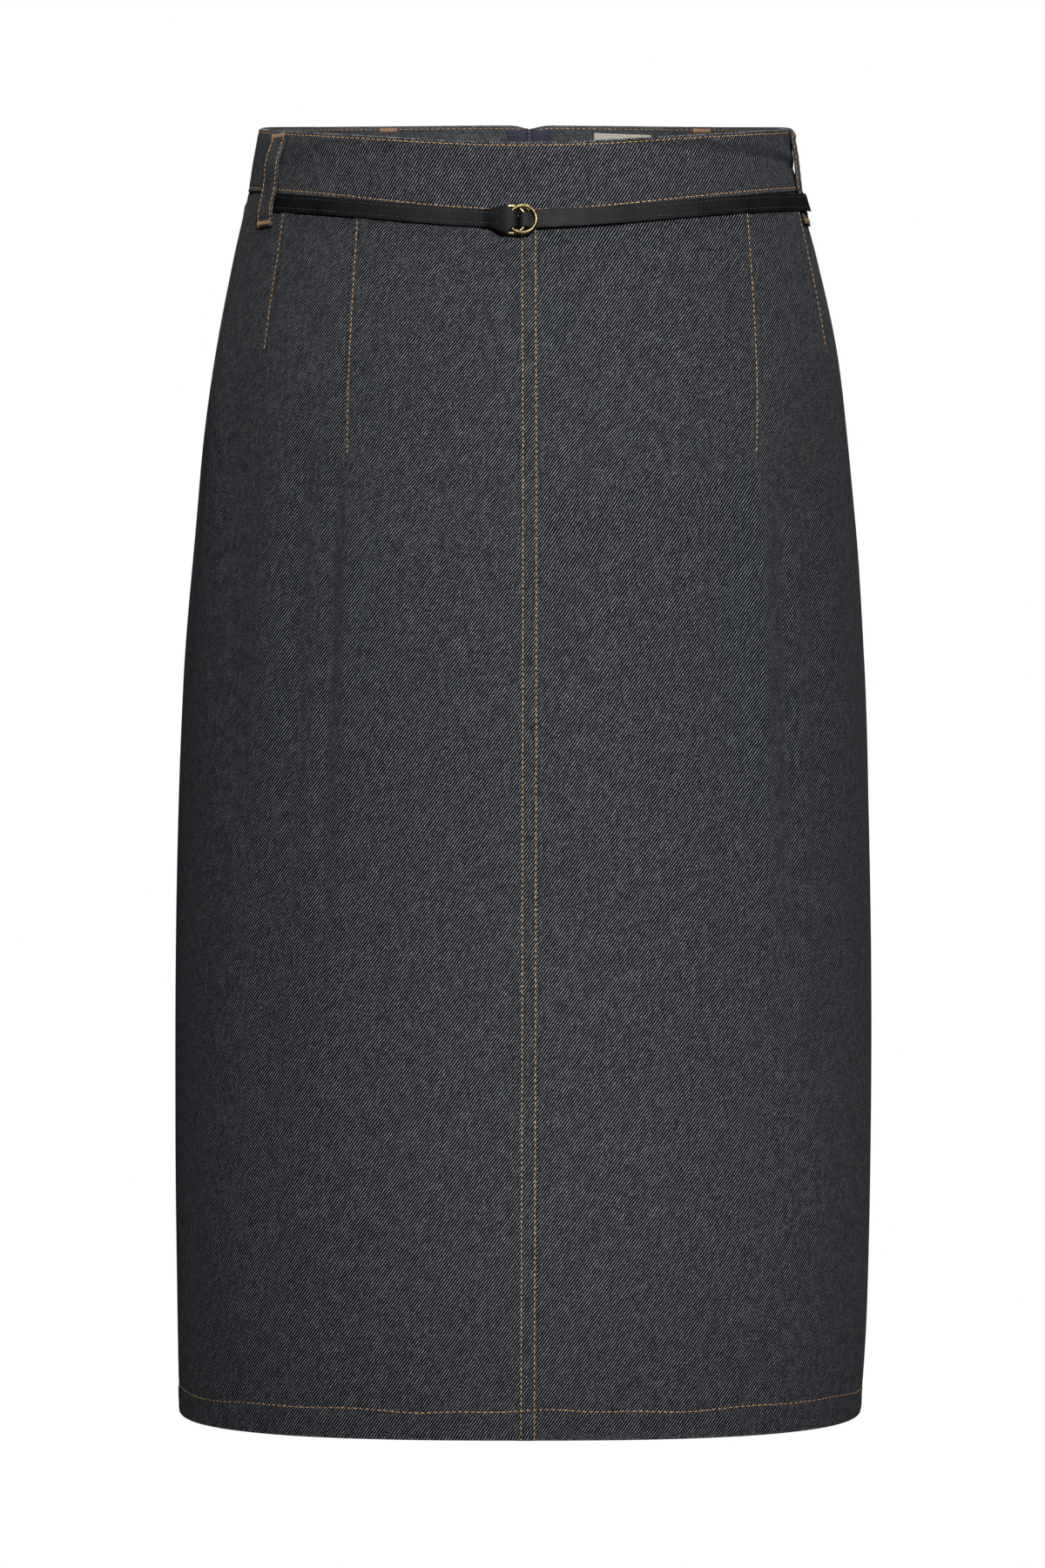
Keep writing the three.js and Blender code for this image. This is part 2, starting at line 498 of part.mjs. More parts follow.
// The closure: two tapes inside, a slider whose neck stands in the slit, and its pull outside.
function addClosure() {
  const backTurn = (x, z) => 180 - (Math.atan2(x, ringPoint(180, z).y) * 180) / Math.PI;
  const inner = BAND_PROUD - BAND_WALL - SEAM_GAP;
  const rows = 22;
  const columns = 2;
  for (const [name, side] of [
    ["zip_tape_left", -1],
    ["zip_tape_right", 1],
  ]) {
    const top = topEdge(CLOSURE_TURN) - TAPE_BELOW_EDGE;
    const spot = (i, j, out) => {
      const z = mix(top, ZIP_FOOT_Z, j / rows);
      const near = CLOSURE_GAP / 2;
      const far = near + TAPE_WIDTH;
      const x = CLOSURE_X + (side > 0 ? mix(far, near, i / columns) : mix(-near, -far, i / columns));
      return clothPoint(backTurn(x, z), z, out);
    };
    const outerFace = (i, j) => spot(i, j, inner);
    const innerFace = (i, j) => spot(i, j, inner - TAPE_WALL);
    add(name, wall(columns, rows, outerFace, innerFace), "navy");
  }

  const face = clothPoint(CLOSURE_TURN, SLIDER_Z, BAND_PROUD).y;
  const hinge = new THREE.Vector3(CLOSURE_X, face + 1.5, SLIDER_Z);
  const bodyTop = SLIDER_Z + SLIDER_BODY.rise + SLIDER_BODY.height / 2;
  const bodyOut = clothPoint(CLOSURE_TURN, bodyTop, BAND_PROUD).y - BAND_WALL - 2 * SEAM_GAP - TAPE_WALL;

  // The neck and its round bail, cut from one plate that stands in the slit.
  const plate = new THREE.Shape();
  plate.absarc(0, 0, BAIL.outer, -Math.PI * 0.75, Math.PI * 0.72, false);
  plate.lineTo(-SLIDER_NECK.behind, SLIDER_NECK.top);
  plate.lineTo(bodyOut - SLIDER_NECK.root - hinge.y, SLIDER_NECK.top);
  plate.lineTo(bodyOut - SLIDER_NECK.root - hinge.y, SLIDER_NECK.foot);
  const eye = new THREE.Path();
  eye.absarc(0, 0, BAIL.inner, 0, 2 * Math.PI, true);
  plate.holes.push(eye);
  const cut = { depth: SLIDER_NECK.wall, bevelEnabled: false, curveSegments: 12 };
  const neck = new THREE.ExtrudeGeometry(plate, cut);
  neck.translate(0, 0, -SLIDER_NECK.wall / 2);
  neck.applyMatrix4(new THREE.Matrix4().makeBasis(
    new THREE.Vector3(0, 1, 0),
    new THREE.Vector3(0, 0, 1),
    new THREE.Vector3(1, 0, 0),
  ));
  neck.translate(hinge.x, hinge.y, hinge.z);

  const block = new THREE.Shape();
  const { width, end: endWidth, depth, height, shoulder, rise } = SLIDER_BODY;
  block.moveTo(-endWidth / 2, -height / 2);
  block.lineTo(endWidth / 2, -height / 2);
  block.lineTo(width / 2, height / 2 - shoulder);
  block.lineTo(endWidth / 2, height / 2);
  block.lineTo(-endWidth / 2, height / 2);
  block.lineTo(-width / 2, height / 2 - shoulder);
  const body = new THREE.ExtrudeGeometry(block, { depth, bevelEnabled: false });
  body.applyMatrix4(new THREE.Matrix4().makeBasis(
    new THREE.Vector3(1, 0, 0),
    new THREE.Vector3(0, 0, 1),
    new THREE.Vector3(0, -1, 0),
  ));
  body.translate(hinge.x, bodyOut, SLIDER_Z + rise);
  add("zip_slider", joined(body, neck), "brass");

  // The pull hangs from its bar, just clear of the cloth.
  const tip = clothPoint(CLOSURE_TURN, SLIDER_Z - PULL.length, 0).y;
  const lean = Math.atan2(tip + PULL.standOff + PULL.wall / 2 - hinge.y, PULL.length);
  const outline = new THREE.Shape();
  const top = PULL.bar / 2;
  const end = PULL.width / 2;
  const slim = PULL.waist / 2;
  const { from, bend, narrow, widens } = PULL_NARROWS;
  outline.moveTo(-end, top);
  outline.lineTo(-end, from);
  outline.quadraticCurveTo(-slim, bend, -slim, narrow);
  outline.quadraticCurveTo(-end, widens, -end, -PULL.length + end);
  outline.absarc(0, -PULL.length + end, end, Math.PI, 2 * Math.PI, false);
  outline.quadraticCurveTo(end, widens, slim, narrow);
  outline.quadraticCurveTo(slim, bend, end, from);
  outline.lineTo(end, top);
  const slot = new THREE.Path();
  slot.moveTo(-PULL.eye / 2, -PULL.bar / 2);
  slot.lineTo(PULL.eye / 2, -PULL.bar / 2);
  slot.lineTo(PULL.eye / 2, -BAIL.outer - 0.5);
  slot.lineTo(-PULL.eye / 2, -BAIL.outer - 0.5);
  outline.holes.push(slot);
  const cutOut = { depth: PULL.wall, bevelEnabled: false, curveSegments: 8 };
  const pull = new THREE.ExtrudeGeometry(outline, cutOut);
  pull.translate(0, 0, -PULL.wall / 2);
  pull.rotateX(Math.PI / 2 + lean);
  pull.translate(hinge.x, hinge.y, hinge.z);
  add("zip_pull_tab", pull, "brass");
}

function addLabel() {
  const columns = 6;
  const inner = BAND_PROUD - BAND_WALL - SEAM_GAP;
  const spot = (i, j, out) => {
    const share = i / columns;
    const x = mix(LABEL.to, LABEL.from, share);
    const z = LABEL.top - LABEL.fall * (1 - share) - j * LABEL.height;
    const depth = ringPoint(180, z).y * LABEL.depthShare;
    return clothPoint(180 - (Math.atan2(x, depth) * 180) / Math.PI, z, out);
  };
  const outerFace = (i, j) => spot(i, j, inner);
  const innerFace = (i, j) => spot(i, j, inner - LABEL.wall);
  add("label", wall(columns, 1, outerFace, innerFace), "label");
}

const { leftSide, rightSide, front, backFromLeft, backFromRight } = panelEdge;
panel("panel_front_left", FRONT_COLUMNS, leftSide, front, true);
panel("panel_front_right", FRONT_COLUMNS, front, rightSide, false);
panel("panel_back_right", BACK_COLUMNS, rightSide, backFromRight, false);
panel("panel_back_left", BACK_COLUMNS, backFromLeft, leftSide, false);

const { left: seamLeft, right: seamRight } = SIDE_SEAM_TURN;
band("waistband_front", BAND_COLUMNS.front, seamLeft + SEAM_TURN, seamRight - SEAM_TURN);
band("waistband_back_right", BAND_COLUMNS.back, seamRight + SEAM_TURN, CLOSURE_TURN - CLOSURE_HALF_TURN);
band("waistband_back_left", BAND_COLUMNS.back, CLOSURE_TURN - 360 + CLOSURE_HALF_TURN, seamLeft - SEAM_TURN);

LOOPS.forEach(loop);
addBelt();
addClosure();
addLabel();

export default skirt;
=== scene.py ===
# %% [markdown]
# # A denim skirt, filled out as worn
# This script dresses a simple solid model of a midi-length denim skirt. The solids say where each cut
# piece is and how it moves. Here every piece gets the cloth, creases, sewing and metal of the real
# one. The object's own sizes are written in millimetres and turned to metres when a mesh is made.

import math

import bpy
import bmesh
import numpy as np
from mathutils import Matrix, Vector
from mathutils.bvhtree import BVHTree


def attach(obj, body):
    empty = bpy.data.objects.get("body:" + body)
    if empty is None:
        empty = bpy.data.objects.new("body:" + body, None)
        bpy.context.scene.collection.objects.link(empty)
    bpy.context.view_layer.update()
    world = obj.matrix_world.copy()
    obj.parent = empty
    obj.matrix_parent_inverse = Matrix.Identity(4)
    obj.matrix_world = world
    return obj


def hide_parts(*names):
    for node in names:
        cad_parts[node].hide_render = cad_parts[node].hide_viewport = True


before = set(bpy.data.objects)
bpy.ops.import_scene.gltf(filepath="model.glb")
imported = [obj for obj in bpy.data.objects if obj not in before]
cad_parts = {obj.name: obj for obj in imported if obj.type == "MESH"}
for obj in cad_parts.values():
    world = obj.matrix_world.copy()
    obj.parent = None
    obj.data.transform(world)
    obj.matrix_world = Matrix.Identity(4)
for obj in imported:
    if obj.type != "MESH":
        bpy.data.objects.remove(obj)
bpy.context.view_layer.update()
MM = 0.001
SKIRT = "skirt"
PULL = "zip_pull"
print("solids:", len(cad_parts))

# %% [markdown]
# ## Camera
# The picture is taken level and straight from the front, at about the middle of the skirt, from far
# enough away that the sides hardly swell. A long lens far off does that. The lens comes from how
# many millimetres of skirt one row of the 1800-row picture covers.

# %% Camera
PICTURE_ROWS = 1800
MM_PER_ROW = 0.47
CAMERA_DISTANCE = 2.3
CAMERA_HEIGHT = -0.333
SENSOR = 36.0

camera_data = bpy.data.cameras.new("camera")
camera_data.sensor_fit = "VERTICAL"
camera_data.sensor_height = SENSOR
camera_data.lens = SENSOR * CAMERA_DISTANCE / (PICTURE_ROWS * MM_PER_ROW * MM)
camera = bpy.data.objects.new("camera", camera_data)
camera.location = (0, -CAMERA_DISTANCE, CAMERA_HEIGHT)
camera.rotation_euler = (math.pi / 2, 0, 0)
bpy.context.scene.collection.objects.link(camera)
bpy.context.scene.camera = camera
print("lens:", round(camera_data.lens, 1), "mm")

# %% [markdown]
# ## The body of the skirt as a rule
# A skirt that is worn is a soft tube: a level slice through it is a rounded box, and each height has
# its own half-widths and half-depths. So the whole form is a short table of slices with a smooth
# curve through each column. A modeller could also sculpt it, but a rule lets every seam, stitch and
# fold be placed by a turn round the body and a height, and they then lie on the cloth exactly.

# %% The table of level slices
SECTION_COLUMNS = ("z", "left", "right", "front", "back", "front_corner", "back_corner")
SECTIONS = (
    (44, 139.5, 143.3, 102, 101.5, 2.25, 2.2),
    (20, 141.2, 144.5, 102, 103.5, 2.25, 2.2),
    (0, 144.6, 145.0, 103.2, 106.5, 2.25, 2.2),
    (-12, 146.6, 147.6, 104.4, 109.2, 2.27, 2.2),
    (-28, 150.4, 152.2, 106, 113, 2.3, 2.22),
    (-51, 155.6, 158.5, 108.5, 119, 2.3, 2.25),
    (-98, 164.5, 168.7, 113, 130, 2.38, 2.28),
    (-145, 171.1, 174.4, 116.8, 137.5, 2.47, 2.3),
    (-192, 175.3, 178.1, 119.5, 141.3, 2.53, 2.32),
    (-239, 179.1, 181.0, 121.2, 141.3, 2.57, 2.35),
    (-286, 181.6, 183.3, 122.3, 139.2, 2.6, 2.4),
    (-333, 183.4, 184.8, 123.1, 136.8, 2.62, 2.42),
    (-427, 185.7, 187.1, 124.2, 133.2, 2.64, 2.46),
    (-521, 186.3, 186.9, 124.8, 131, 2.65, 2.5),
    (-615, 185.2, 184.8, 125, 129.6, 2.65, 2.5),
    (-669, 184.2, 181.4, 125, 129, 2.65, 2.5),
)


def curve_through(places, values, at):
    """A smooth curve through a few values, read at many places."""
    order = np.argsort(places)
    x = np.asarray(places, float)[order]
    y = np.asarray(values, float)[order]
    ahead = np.minimum(np.arange(len(x)) + 1, len(x) - 1)
    behind = np.maximum(np.arange(len(x)) - 1, 0)
    slope = (y[ahead] - y[behind]) / (x[ahead] - x[behind])
    at = np.clip(at, x[0], x[-1])
    i = np.clip(np.searchsorted(x, at, side="right") - 1, 0, len(x) - 2)
    step = x[i + 1] - x[i]
    t = (at - x[i]) / step
    rise = y[i + 1] - y[i]
    start, end = slope[i] * step, slope[i + 1] * step
    return y[i] + t * start + t**2 * (3 * rise - 2 * start - end) + t**3 * (start + end - 2 * rise)


def section(column, z):
    """One column of the table of slices, at any height."""
    values = np.array(SECTIONS, float)
    return curve_through(values[:, 0], values[:, SECTION_COLUMNS.index(column)], z)


def smooth(share):
    s = np.clip(share, 0, 1)
    return s * s * (3 - 2 * s)


def mix(a, b, share):
    return a + (b - a) * share


def bump_at(distance, width):
    """A soft ridge across a line: one on it, and almost nothing past twice its width."""
    return np.exp(-((distance / width) ** 2))


print("hip half-width:", round(float(section("left", -333)), 1), "mm")

# %% The edges that run round the body
CLOSURE_X = 4
CLOSURE_TURN = 177.8
CLOSURE_DIP = 1.8
CLOSURE_DIP_WIDTH = 6
SIDE_SEAM_LEFT = -98
SIDE_SEAM_RIGHT = 100
FRONT_SEAM_TOP = 4.2
FRONT_SEAM_HEM = 3.3
HEM_Z = -668.3
HEM_HEIGHT = 15


def top_edge(turn):
    """Height of the waistband's top edge. A turn is in degrees: 0 in front, 90 on +X."""
    c = np.cos(np.radians(turn))
    closure = np.where(turn < 0, turn + 360 - CLOSURE_TURN, CLOSURE_TURN - turn)
    from_closure = np.radians(closure) * section("back", 20)
    dip = CLOSURE_DIP * bump_at(from_closure, CLOSURE_DIP_WIDTH)
    return 21 - 25.5 * c + np.where(c > 0, 2.5, -8.5) * c * c - dip


def band_seam(turn):
    """Height of the seam between the waistband and the panels."""
    c = np.cos(np.radians(turn))
    return -13.5 - 18 * c - np.where(c > 0, 8, 1.5) * c * c


def front_seam(z):
    """The turn of the lapped seam down the centre front."""
    return mix(FRONT_SEAM_TOP, FRONT_SEAM_HEM, np.clip(-z / -HEM_Z, 0, 1))


def ring_point(turn, z):
    """A point of a level slice, as x and y."""
    sine, cosine = np.sin(np.radians(turn)), np.cos(np.radians(turn))
    half = np.where(sine < 0, section("left", z), section("right", z))
    depth = np.where(cosine > 0, section("front", z), section("back", z))
    corner = np.where(cosine > 0, section("front_corner", z), section("back_corner", z))
    radius = (np.abs(sine / half) ** corner + np.abs(cosine / depth) ** corner) ** (-1 / corner)
    return radius * sine, -radius * cosine


def level_normal(turn, z):
    ahead, behind = ring_point(turn + 0.5, z), ring_point(turn - 0.5, z)
    x, y = ahead[1] - behind[1], behind[0] - ahead[0]
    length = np.hypot(x, y)
    return x / length, y / length


print("waistband at the front:", round(float(top_edge(0) - band_seam(0)), 1), "mm high")

# %% [markdown]
# ## Folds and darts
# Denim is stiff, so it falls in few, long, soft folds that start where it is pulled: below the darts
# and from the hips. Each one is a row of a table with its own length, depth and width, given one
# by one, because evenly spaced folds look machined. A dart is a pinch of cloth pressed to one side
# and stitched down, so it stands up as a thin step with a crisp edge that dies away at its tip.

# %% The folds
# The solids have the large folds too. The small ones are the cloth's own.
FOLD_COLUMNS = ("head turn", "foot turn", "head z", "foot z", "width", "rise")
LARGE_FOLDS = (
    (-41, -38.6, -118, -420, 7, -2.6),
    (-63, -57.5, -95, -450, 9, -2.6),
    (-74, -71, -60, -250, 9, 1.6),
    (52, 49, -80, -330, 9, 1.9),
    (44, 43, -200, -400, 10, -1.2),
    (66, 59, -110, -420, 9, -2.8),
    (-49, -47, -150, -480, 8, -1.6),
    (58.5, 55.5, -130, -470, 7, -2.0),
    (-146, -149, -115, -430, 9, -2.2),
    (-118, -121, -100, -330, 9, -1.8),
    (143, 146, -120, -370, 10, -2.0),
    (116, 121, -95, -450, 9, -2.3),
)
SMALL_FOLDS = (
    (-42.4, -42.2, -138, -450, 3.4, -4.0),
    (-39.0, -38.8, -146, -450, 3.6, 2.4),
    (-48.5, -47.5, -120, -460, 7, -2.6),
    (51.0, 49.5, -136, -500, 4.5, 2.6),
    (56.5, 54.5, -140, -520, 4.5, -4.0),
    (62.5, 60, -130, -560, 6, -1.8),
    (-56, -54, -120, -400, 6, 1.4),
    (-66, -65, -90, -330, 5, -1.6),
    (-33, -31, -60, -240, 6, 0.5),
    (-22, -25, -150, -520, 11, -0.6),
    (-12, -10, -240, -640, 9, 0.5),
    (-46, -47, -230, -560, 8, 0.9),
    (-53, -50, -300, -640, 8, -0.8),
    (-80, -76, -120, -390, 8, -1.3),
    (-88, -84, -200, -520, 9, 1.1),
    (-34, -33, -380, -665, 9, -0.7),
    (14, 17, -130, -420, 9, -0.5),
    (24, 22, -260, -600, 10, 0.6),
    (34, 33, -420, -665, 9, -0.7),
    (38, 36, -70, -220, 6, 0.6),
    (57, 55, -210, -520, 7, 1.0),
    (71, 67, -260, -600, 8, 1.0),
    (78, 74, -90, -330, 7, -1.4),
    (88, 83, -140, -450, 8, 1.2),
    (104, 108, -120, -470, 9, -1.2),
    (130, 133, -90, -300, 8, 1.2),
    (152, 150, -250, -600, 10, 0.9),
    (160, 165, -140, -390, 9, -1.0),
    (172, 170, -330, -660, 9, -0.7),
    (-104, -109, -170, -560, 9, -1.3),
    (-129, -132, -140, -430, 8, 1.1),
    (-138, -136, -320, -640, 9, -0.8),
    (-157, -160, -100, -310, 8, 1.0),
    (-168, -166, -200, -540, 9, -0.9),
)
FOLD_SWELL = 0.25
FOLD_FADE = 0.6
FOLD_REACH = 0.8


def fold_rise(turn, z):
    """How far the cloth stands in or out at its folds."""
    reach = section("left", z) * FOLD_REACH
    rise = np.zeros(np.broadcast(turn, z).shape)
    for head_turn, foot_turn, head, foot, width, height in LARGE_FOLDS + SMALL_FOLDS:
        share = (head - z) / (head - foot)
        offset = np.radians(turn - mix(head_turn, foot_turn, share)) * reach
        strength = smooth(share / FOLD_SWELL) * smooth((1 - share) / FOLD_FADE)
        rise = rise + height * strength * bump_at(offset, width)
    return rise


print("folds:", len(LARGE_FOLDS) + len(SMALL_FOLDS), "by", ", ".join(FOLD_COLUMNS))

# %% The darts
# Each row: the turn and height of a dart's head and of its tip.
DARTS = (
    (-43.0, -36, -40.7, -163),
    (-61.9, -32, -61.0, -106),
    (-90.8, -20, -95.4, -44),
    (57.6, -30, 51.7, -161),
    (76.0, -24, 74.2, -101),
    (-145, -2, -147.5, -118),
    (-117, -8, -118.5, -102),
    (143, -2, 145.5, -116),
    (116, -8, 117.5, -99),
)
DART_RISE = 0.85
DART_TIP_SHARE = 0.35
DART_WIDTH = 9
DART_TIP_WIDTH = 1.5
DART_STITCH_INSET = 1.7
DART_HOLLOW = 0.45
DART_FURROW = 0.22
DART_DIMPLE = 0.5


def dart_turn(dart, z):
    """The turn of a dart's folded edge. Below its tip the line runs on, for the mesh alone."""
    head_turn, head, tip_turn, tip = dart
    return mix(head_turn, tip_turn, np.clip((head - z) / (head - tip), 0, 1))


def dart_side(dart):
    """The pinch lies toward the centre front or the centre back, and its edge faces the side."""
    turn = dart[0]
    return 1 if 0 < turn < 90 or turn < -98 else -1


def dart_distance(dart, turn, z):
    """Millimetres past a dart's folded edge, toward the side of the body."""
    reach = section("left", z) * FOLD_REACH
    return dart_side(dart) * np.radians(turn - dart_turn(dart, z)) * reach


def dart_rise(turn, z):
    """The step at each dart, and the shallow hollow beside its edge."""
    rise = np.zeros(np.broadcast(turn, z).shape)
    for dart in DARTS:
        share = (dart[1] - z) / (dart[1] - dart[3])
        present = smooth((share + 0.05) / 0.05) * (1 - smooth((share - 0.9) / 0.14))
        past = dart_distance(dart, turn, z)
        width = mix(DART_WIDTH, DART_TIP_WIDTH, np.clip(share, 0, 1))
        pinch = smooth((0.25 - past) / 0.5) * smooth((past + width + 1.5) / 3)
        hollow = -DART_HOLLOW * bump_at(past - 1, 2.2) * smooth(past / 0.5 + 0.5)
        furrow = -DART_FURROW * bump_at(past + DART_STITCH_INSET, 0.8)
        height = mix(DART_RISE, DART_RISE * DART_TIP_SHARE, np.clip(share, 0, 1))
        rise = rise + present * (height * pinch + hollow + furrow)
        dimple = bump_at(past, 5) * bump_at(z - dart[3] + 7, 9)
        rise = rise + DART_DIMPLE * dimple
    return rise


print("darts:", len(DARTS))

# %% [markdown]
# ## A point on the cloth
# Everything that lies on the skirt is placed by a turn, a height and how far it stands off the cloth.
# The seams pucker a little where thread pulls the layers together, and the folded hem ropes, which
# is the slanted ripple that washed denim hems show.

# %% Points of the cloth
HEM_ROPE_PITCH = 13
HEM_ROPE = 0.3
HEM_GROOVE = 0.35
SEAM_PUCKER_PITCH = 17
SEAM_PUCKER = 0.22


def sewn_rise(turn, z):
    """Puckers along the waistband's seam and the roped hem."""
    along = np.radians(turn) * section("left", z) * FOLD_REACH
    wander = 3.1 * np.sin(along / 41) + 2.3 * np.sin(along / 23 + 1.7)
    above_hem = z - HEM_Z
    in_hem = smooth(above_hem / 3) * (1 - smooth((above_hem - HEM_HEIGHT + 1) / 5))
    rope = HEM_ROPE * in_hem * np.sin(2 * np.pi * (along + wander + above_hem * 0.9) / HEM_ROPE_PITCH)
    groove = -HEM_GROOVE * bump_at(above_hem - HEM_HEIGHT, 1.3)
    below = band_seam(turn) - z
    near_seam = bump_at(below, 9)
    pucker = SEAM_PUCKER * near_seam * np.sin(2 * np.pi * (along + wander) / SEAM_PUCKER_PITCH)
    return rope + groove + pucker


def cloth_point(turn, z, out=0.0, folds=True):
    """Points in metres, for turns, heights and distances off the cloth's outer face."""
    turn, z, out = np.broadcast_arrays(np.asarray(turn, float), np.asarray(z, float), out)
    x, y = ring_point(turn, z)
    nx, ny = level_normal(turn, z)
    rise = out + (fold_rise(turn, z) if folds else 0)
    return np.stack([(x + nx * rise) * MM, (y + ny * rise) * MM, z * MM], -1)


print("centre front, mid-height:", np.round(cloth_point(0, -333), 4))

# %% [markdown]
# ## Building a wall of cloth
# Cloth has two faces and a thin edge all round. A grid of points for the outer face and one for the
# inner face, joined along their borders, give a closed wall. The grid's columns crowd together where
# a dart or a lapped edge needs a crisp step. Each wall keeps a flat layout of its cloth in
# millimetres, as a UV map, so that the weave runs with the piece as it was cut, and two point
# attributes: which face is the reverse, and where the edge is worn.

# %% Mesh helpers
def put(name, mesh):
    piece = bpy.data.objects.new(name, mesh)
    bpy.context.scene.collection.objects.link(piece)
    return piece


def wall_mesh(name, outer, inner, worn):
    """A closed wall between two grids of points, rows first. worn marks rubbed places, 0 to 1."""
    rows, columns = outer.shape[:2]
    count = rows * columns
    at = np.arange(count).reshape(rows, columns)
    a, b, c, d = at[:-1, :-1], at[1:, :-1], at[1:, 1:], at[:-1, 1:]
    faces = [np.stack([a, b, c, d], -1).reshape(-1, 4)]
    faces.append(np.stack([a, d, c, b], -1).reshape(-1, 4) + count)
    border = np.concatenate([at[:-1, 0], at[-1, :-1], at[:0:-1, -1], at[0, :0:-1]])
    following = np.roll(border, -1)
    faces.append(np.stack([border, border + count, following + count, following], -1))
    mesh = bpy.data.meshes.new(name)
    points = np.concatenate([outer.reshape(-1, 3), inner.reshape(-1, 3)])
    quads = np.concatenate(faces)
    mesh.from_pydata(points.tolist(), [], quads.tolist())
    lay_out(mesh, outer, quads)
    inside = np.concatenate([np.zeros(count), np.ones(count)])
    mesh.attributes.new("inside", "FLOAT", "POINT").data.foreach_set("value", inside)
    rubbed = np.zeros(2 * count)
    rubbed[:count] = np.broadcast_to(worn, outer.shape[:2]).reshape(-1)
    mesh.attributes.new("worn", "FLOAT", "POINT").data.foreach_set("value", rubbed)
    mesh.shade_smooth()
    return put(name, mesh)


def lay_out(mesh, grid, quads):
    """The flat layout: lengths across each row from its middle, and lengths down the middle column."""
    across = np.linalg.norm(np.diff(grid, axis=1), axis=2)
    u = np.concatenate([np.zeros((grid.shape[0], 1)), np.cumsum(across, axis=1)], axis=1)
    u = u - u[:, grid.shape[1] // 2][:, None]
    v = np.broadcast_to(grid[:, :, 2], u.shape)
    flat = np.stack([u, v], -1).reshape(-1, 2)
    flat = np.concatenate([flat, flat])
    layer = mesh.uv_layers.new(name="cloth")
    layer.data.foreach_set("uv", flat[quads.reshape(-1)].reshape(-1))


def one_layer_area(piece):
    """The area of one face of a closed wall, in square metres."""
    return sum(p.area for p in piece.data.polygons) / 2


# %% [markdown]
# ## The panels
# A maker cuts two fronts and two backs. The left front laps over the right one at the centre, where
# two rows of stitching hold it. The hem is turned up inside and stitched. Each panel is a wall whose
# rows run from just under the waistband to the hem, and whose thickness rounds off at the hem's fold.

# %% Panel sizes
PANEL_WALL = 1.6
HEM_WALL = 2.8
UNDER_BAND = 2.0
LAP_WIDTH = 9
LAP_SLOPE = 3
LAP_RISE = 0.7
LAP_EDGE = 1.3
FRONT_ROWS = (1.2, 8.0)
FINE_TURNS = (0.06, 0.14, 0.24, 0.38, 0.58, 0.85, 1.2, 1.7)
COLUMN_STEP = 1.05
ROW_STEP = 3.3
SEAM_ROUND = 1.3
SEAM_DROP = 0.5
INNER_SHARE = 0.4
EDGE_WEAR = 0.5
FOLD_WEAR = 0.12
PANEL_HALF_GAP = 0.02
MIDDLE_Z = -300.0
HEAD_Z = -20.0
NEAR_HEM = np.array([12, 9, 6, 4, 2.6, 1.6, 0.9, 0.4, 0.1, 0.0])


def panel_columns(lines):
    """Turns across a panel at its top, crowded round each line where the cloth steps."""
    plain = np.arange(lines[0], lines[-1], COLUMN_STEP)
    clear = np.min(np.abs(plain[:, None] - np.array(lines)[None, :]), axis=1) > FINE_TURNS[-1] + 0.4
    crowded = [line + side * step for line in lines for side in (-1, 1) for step in FINE_TURNS]
    turns = np.concatenate([plain[clear], lines, crowded])
    return np.unique(turns[(turns >= lines[0]) & (turns <= lines[-1])])


def rounded_edge(height, wall):
    """How far each face draws in at a folded edge, by height above the fold."""
    radius = wall / 2
    h = np.clip(height, 0, radius)
    return radius - np.sqrt(np.maximum(radius**2 - (radius - h) ** 2, 0))


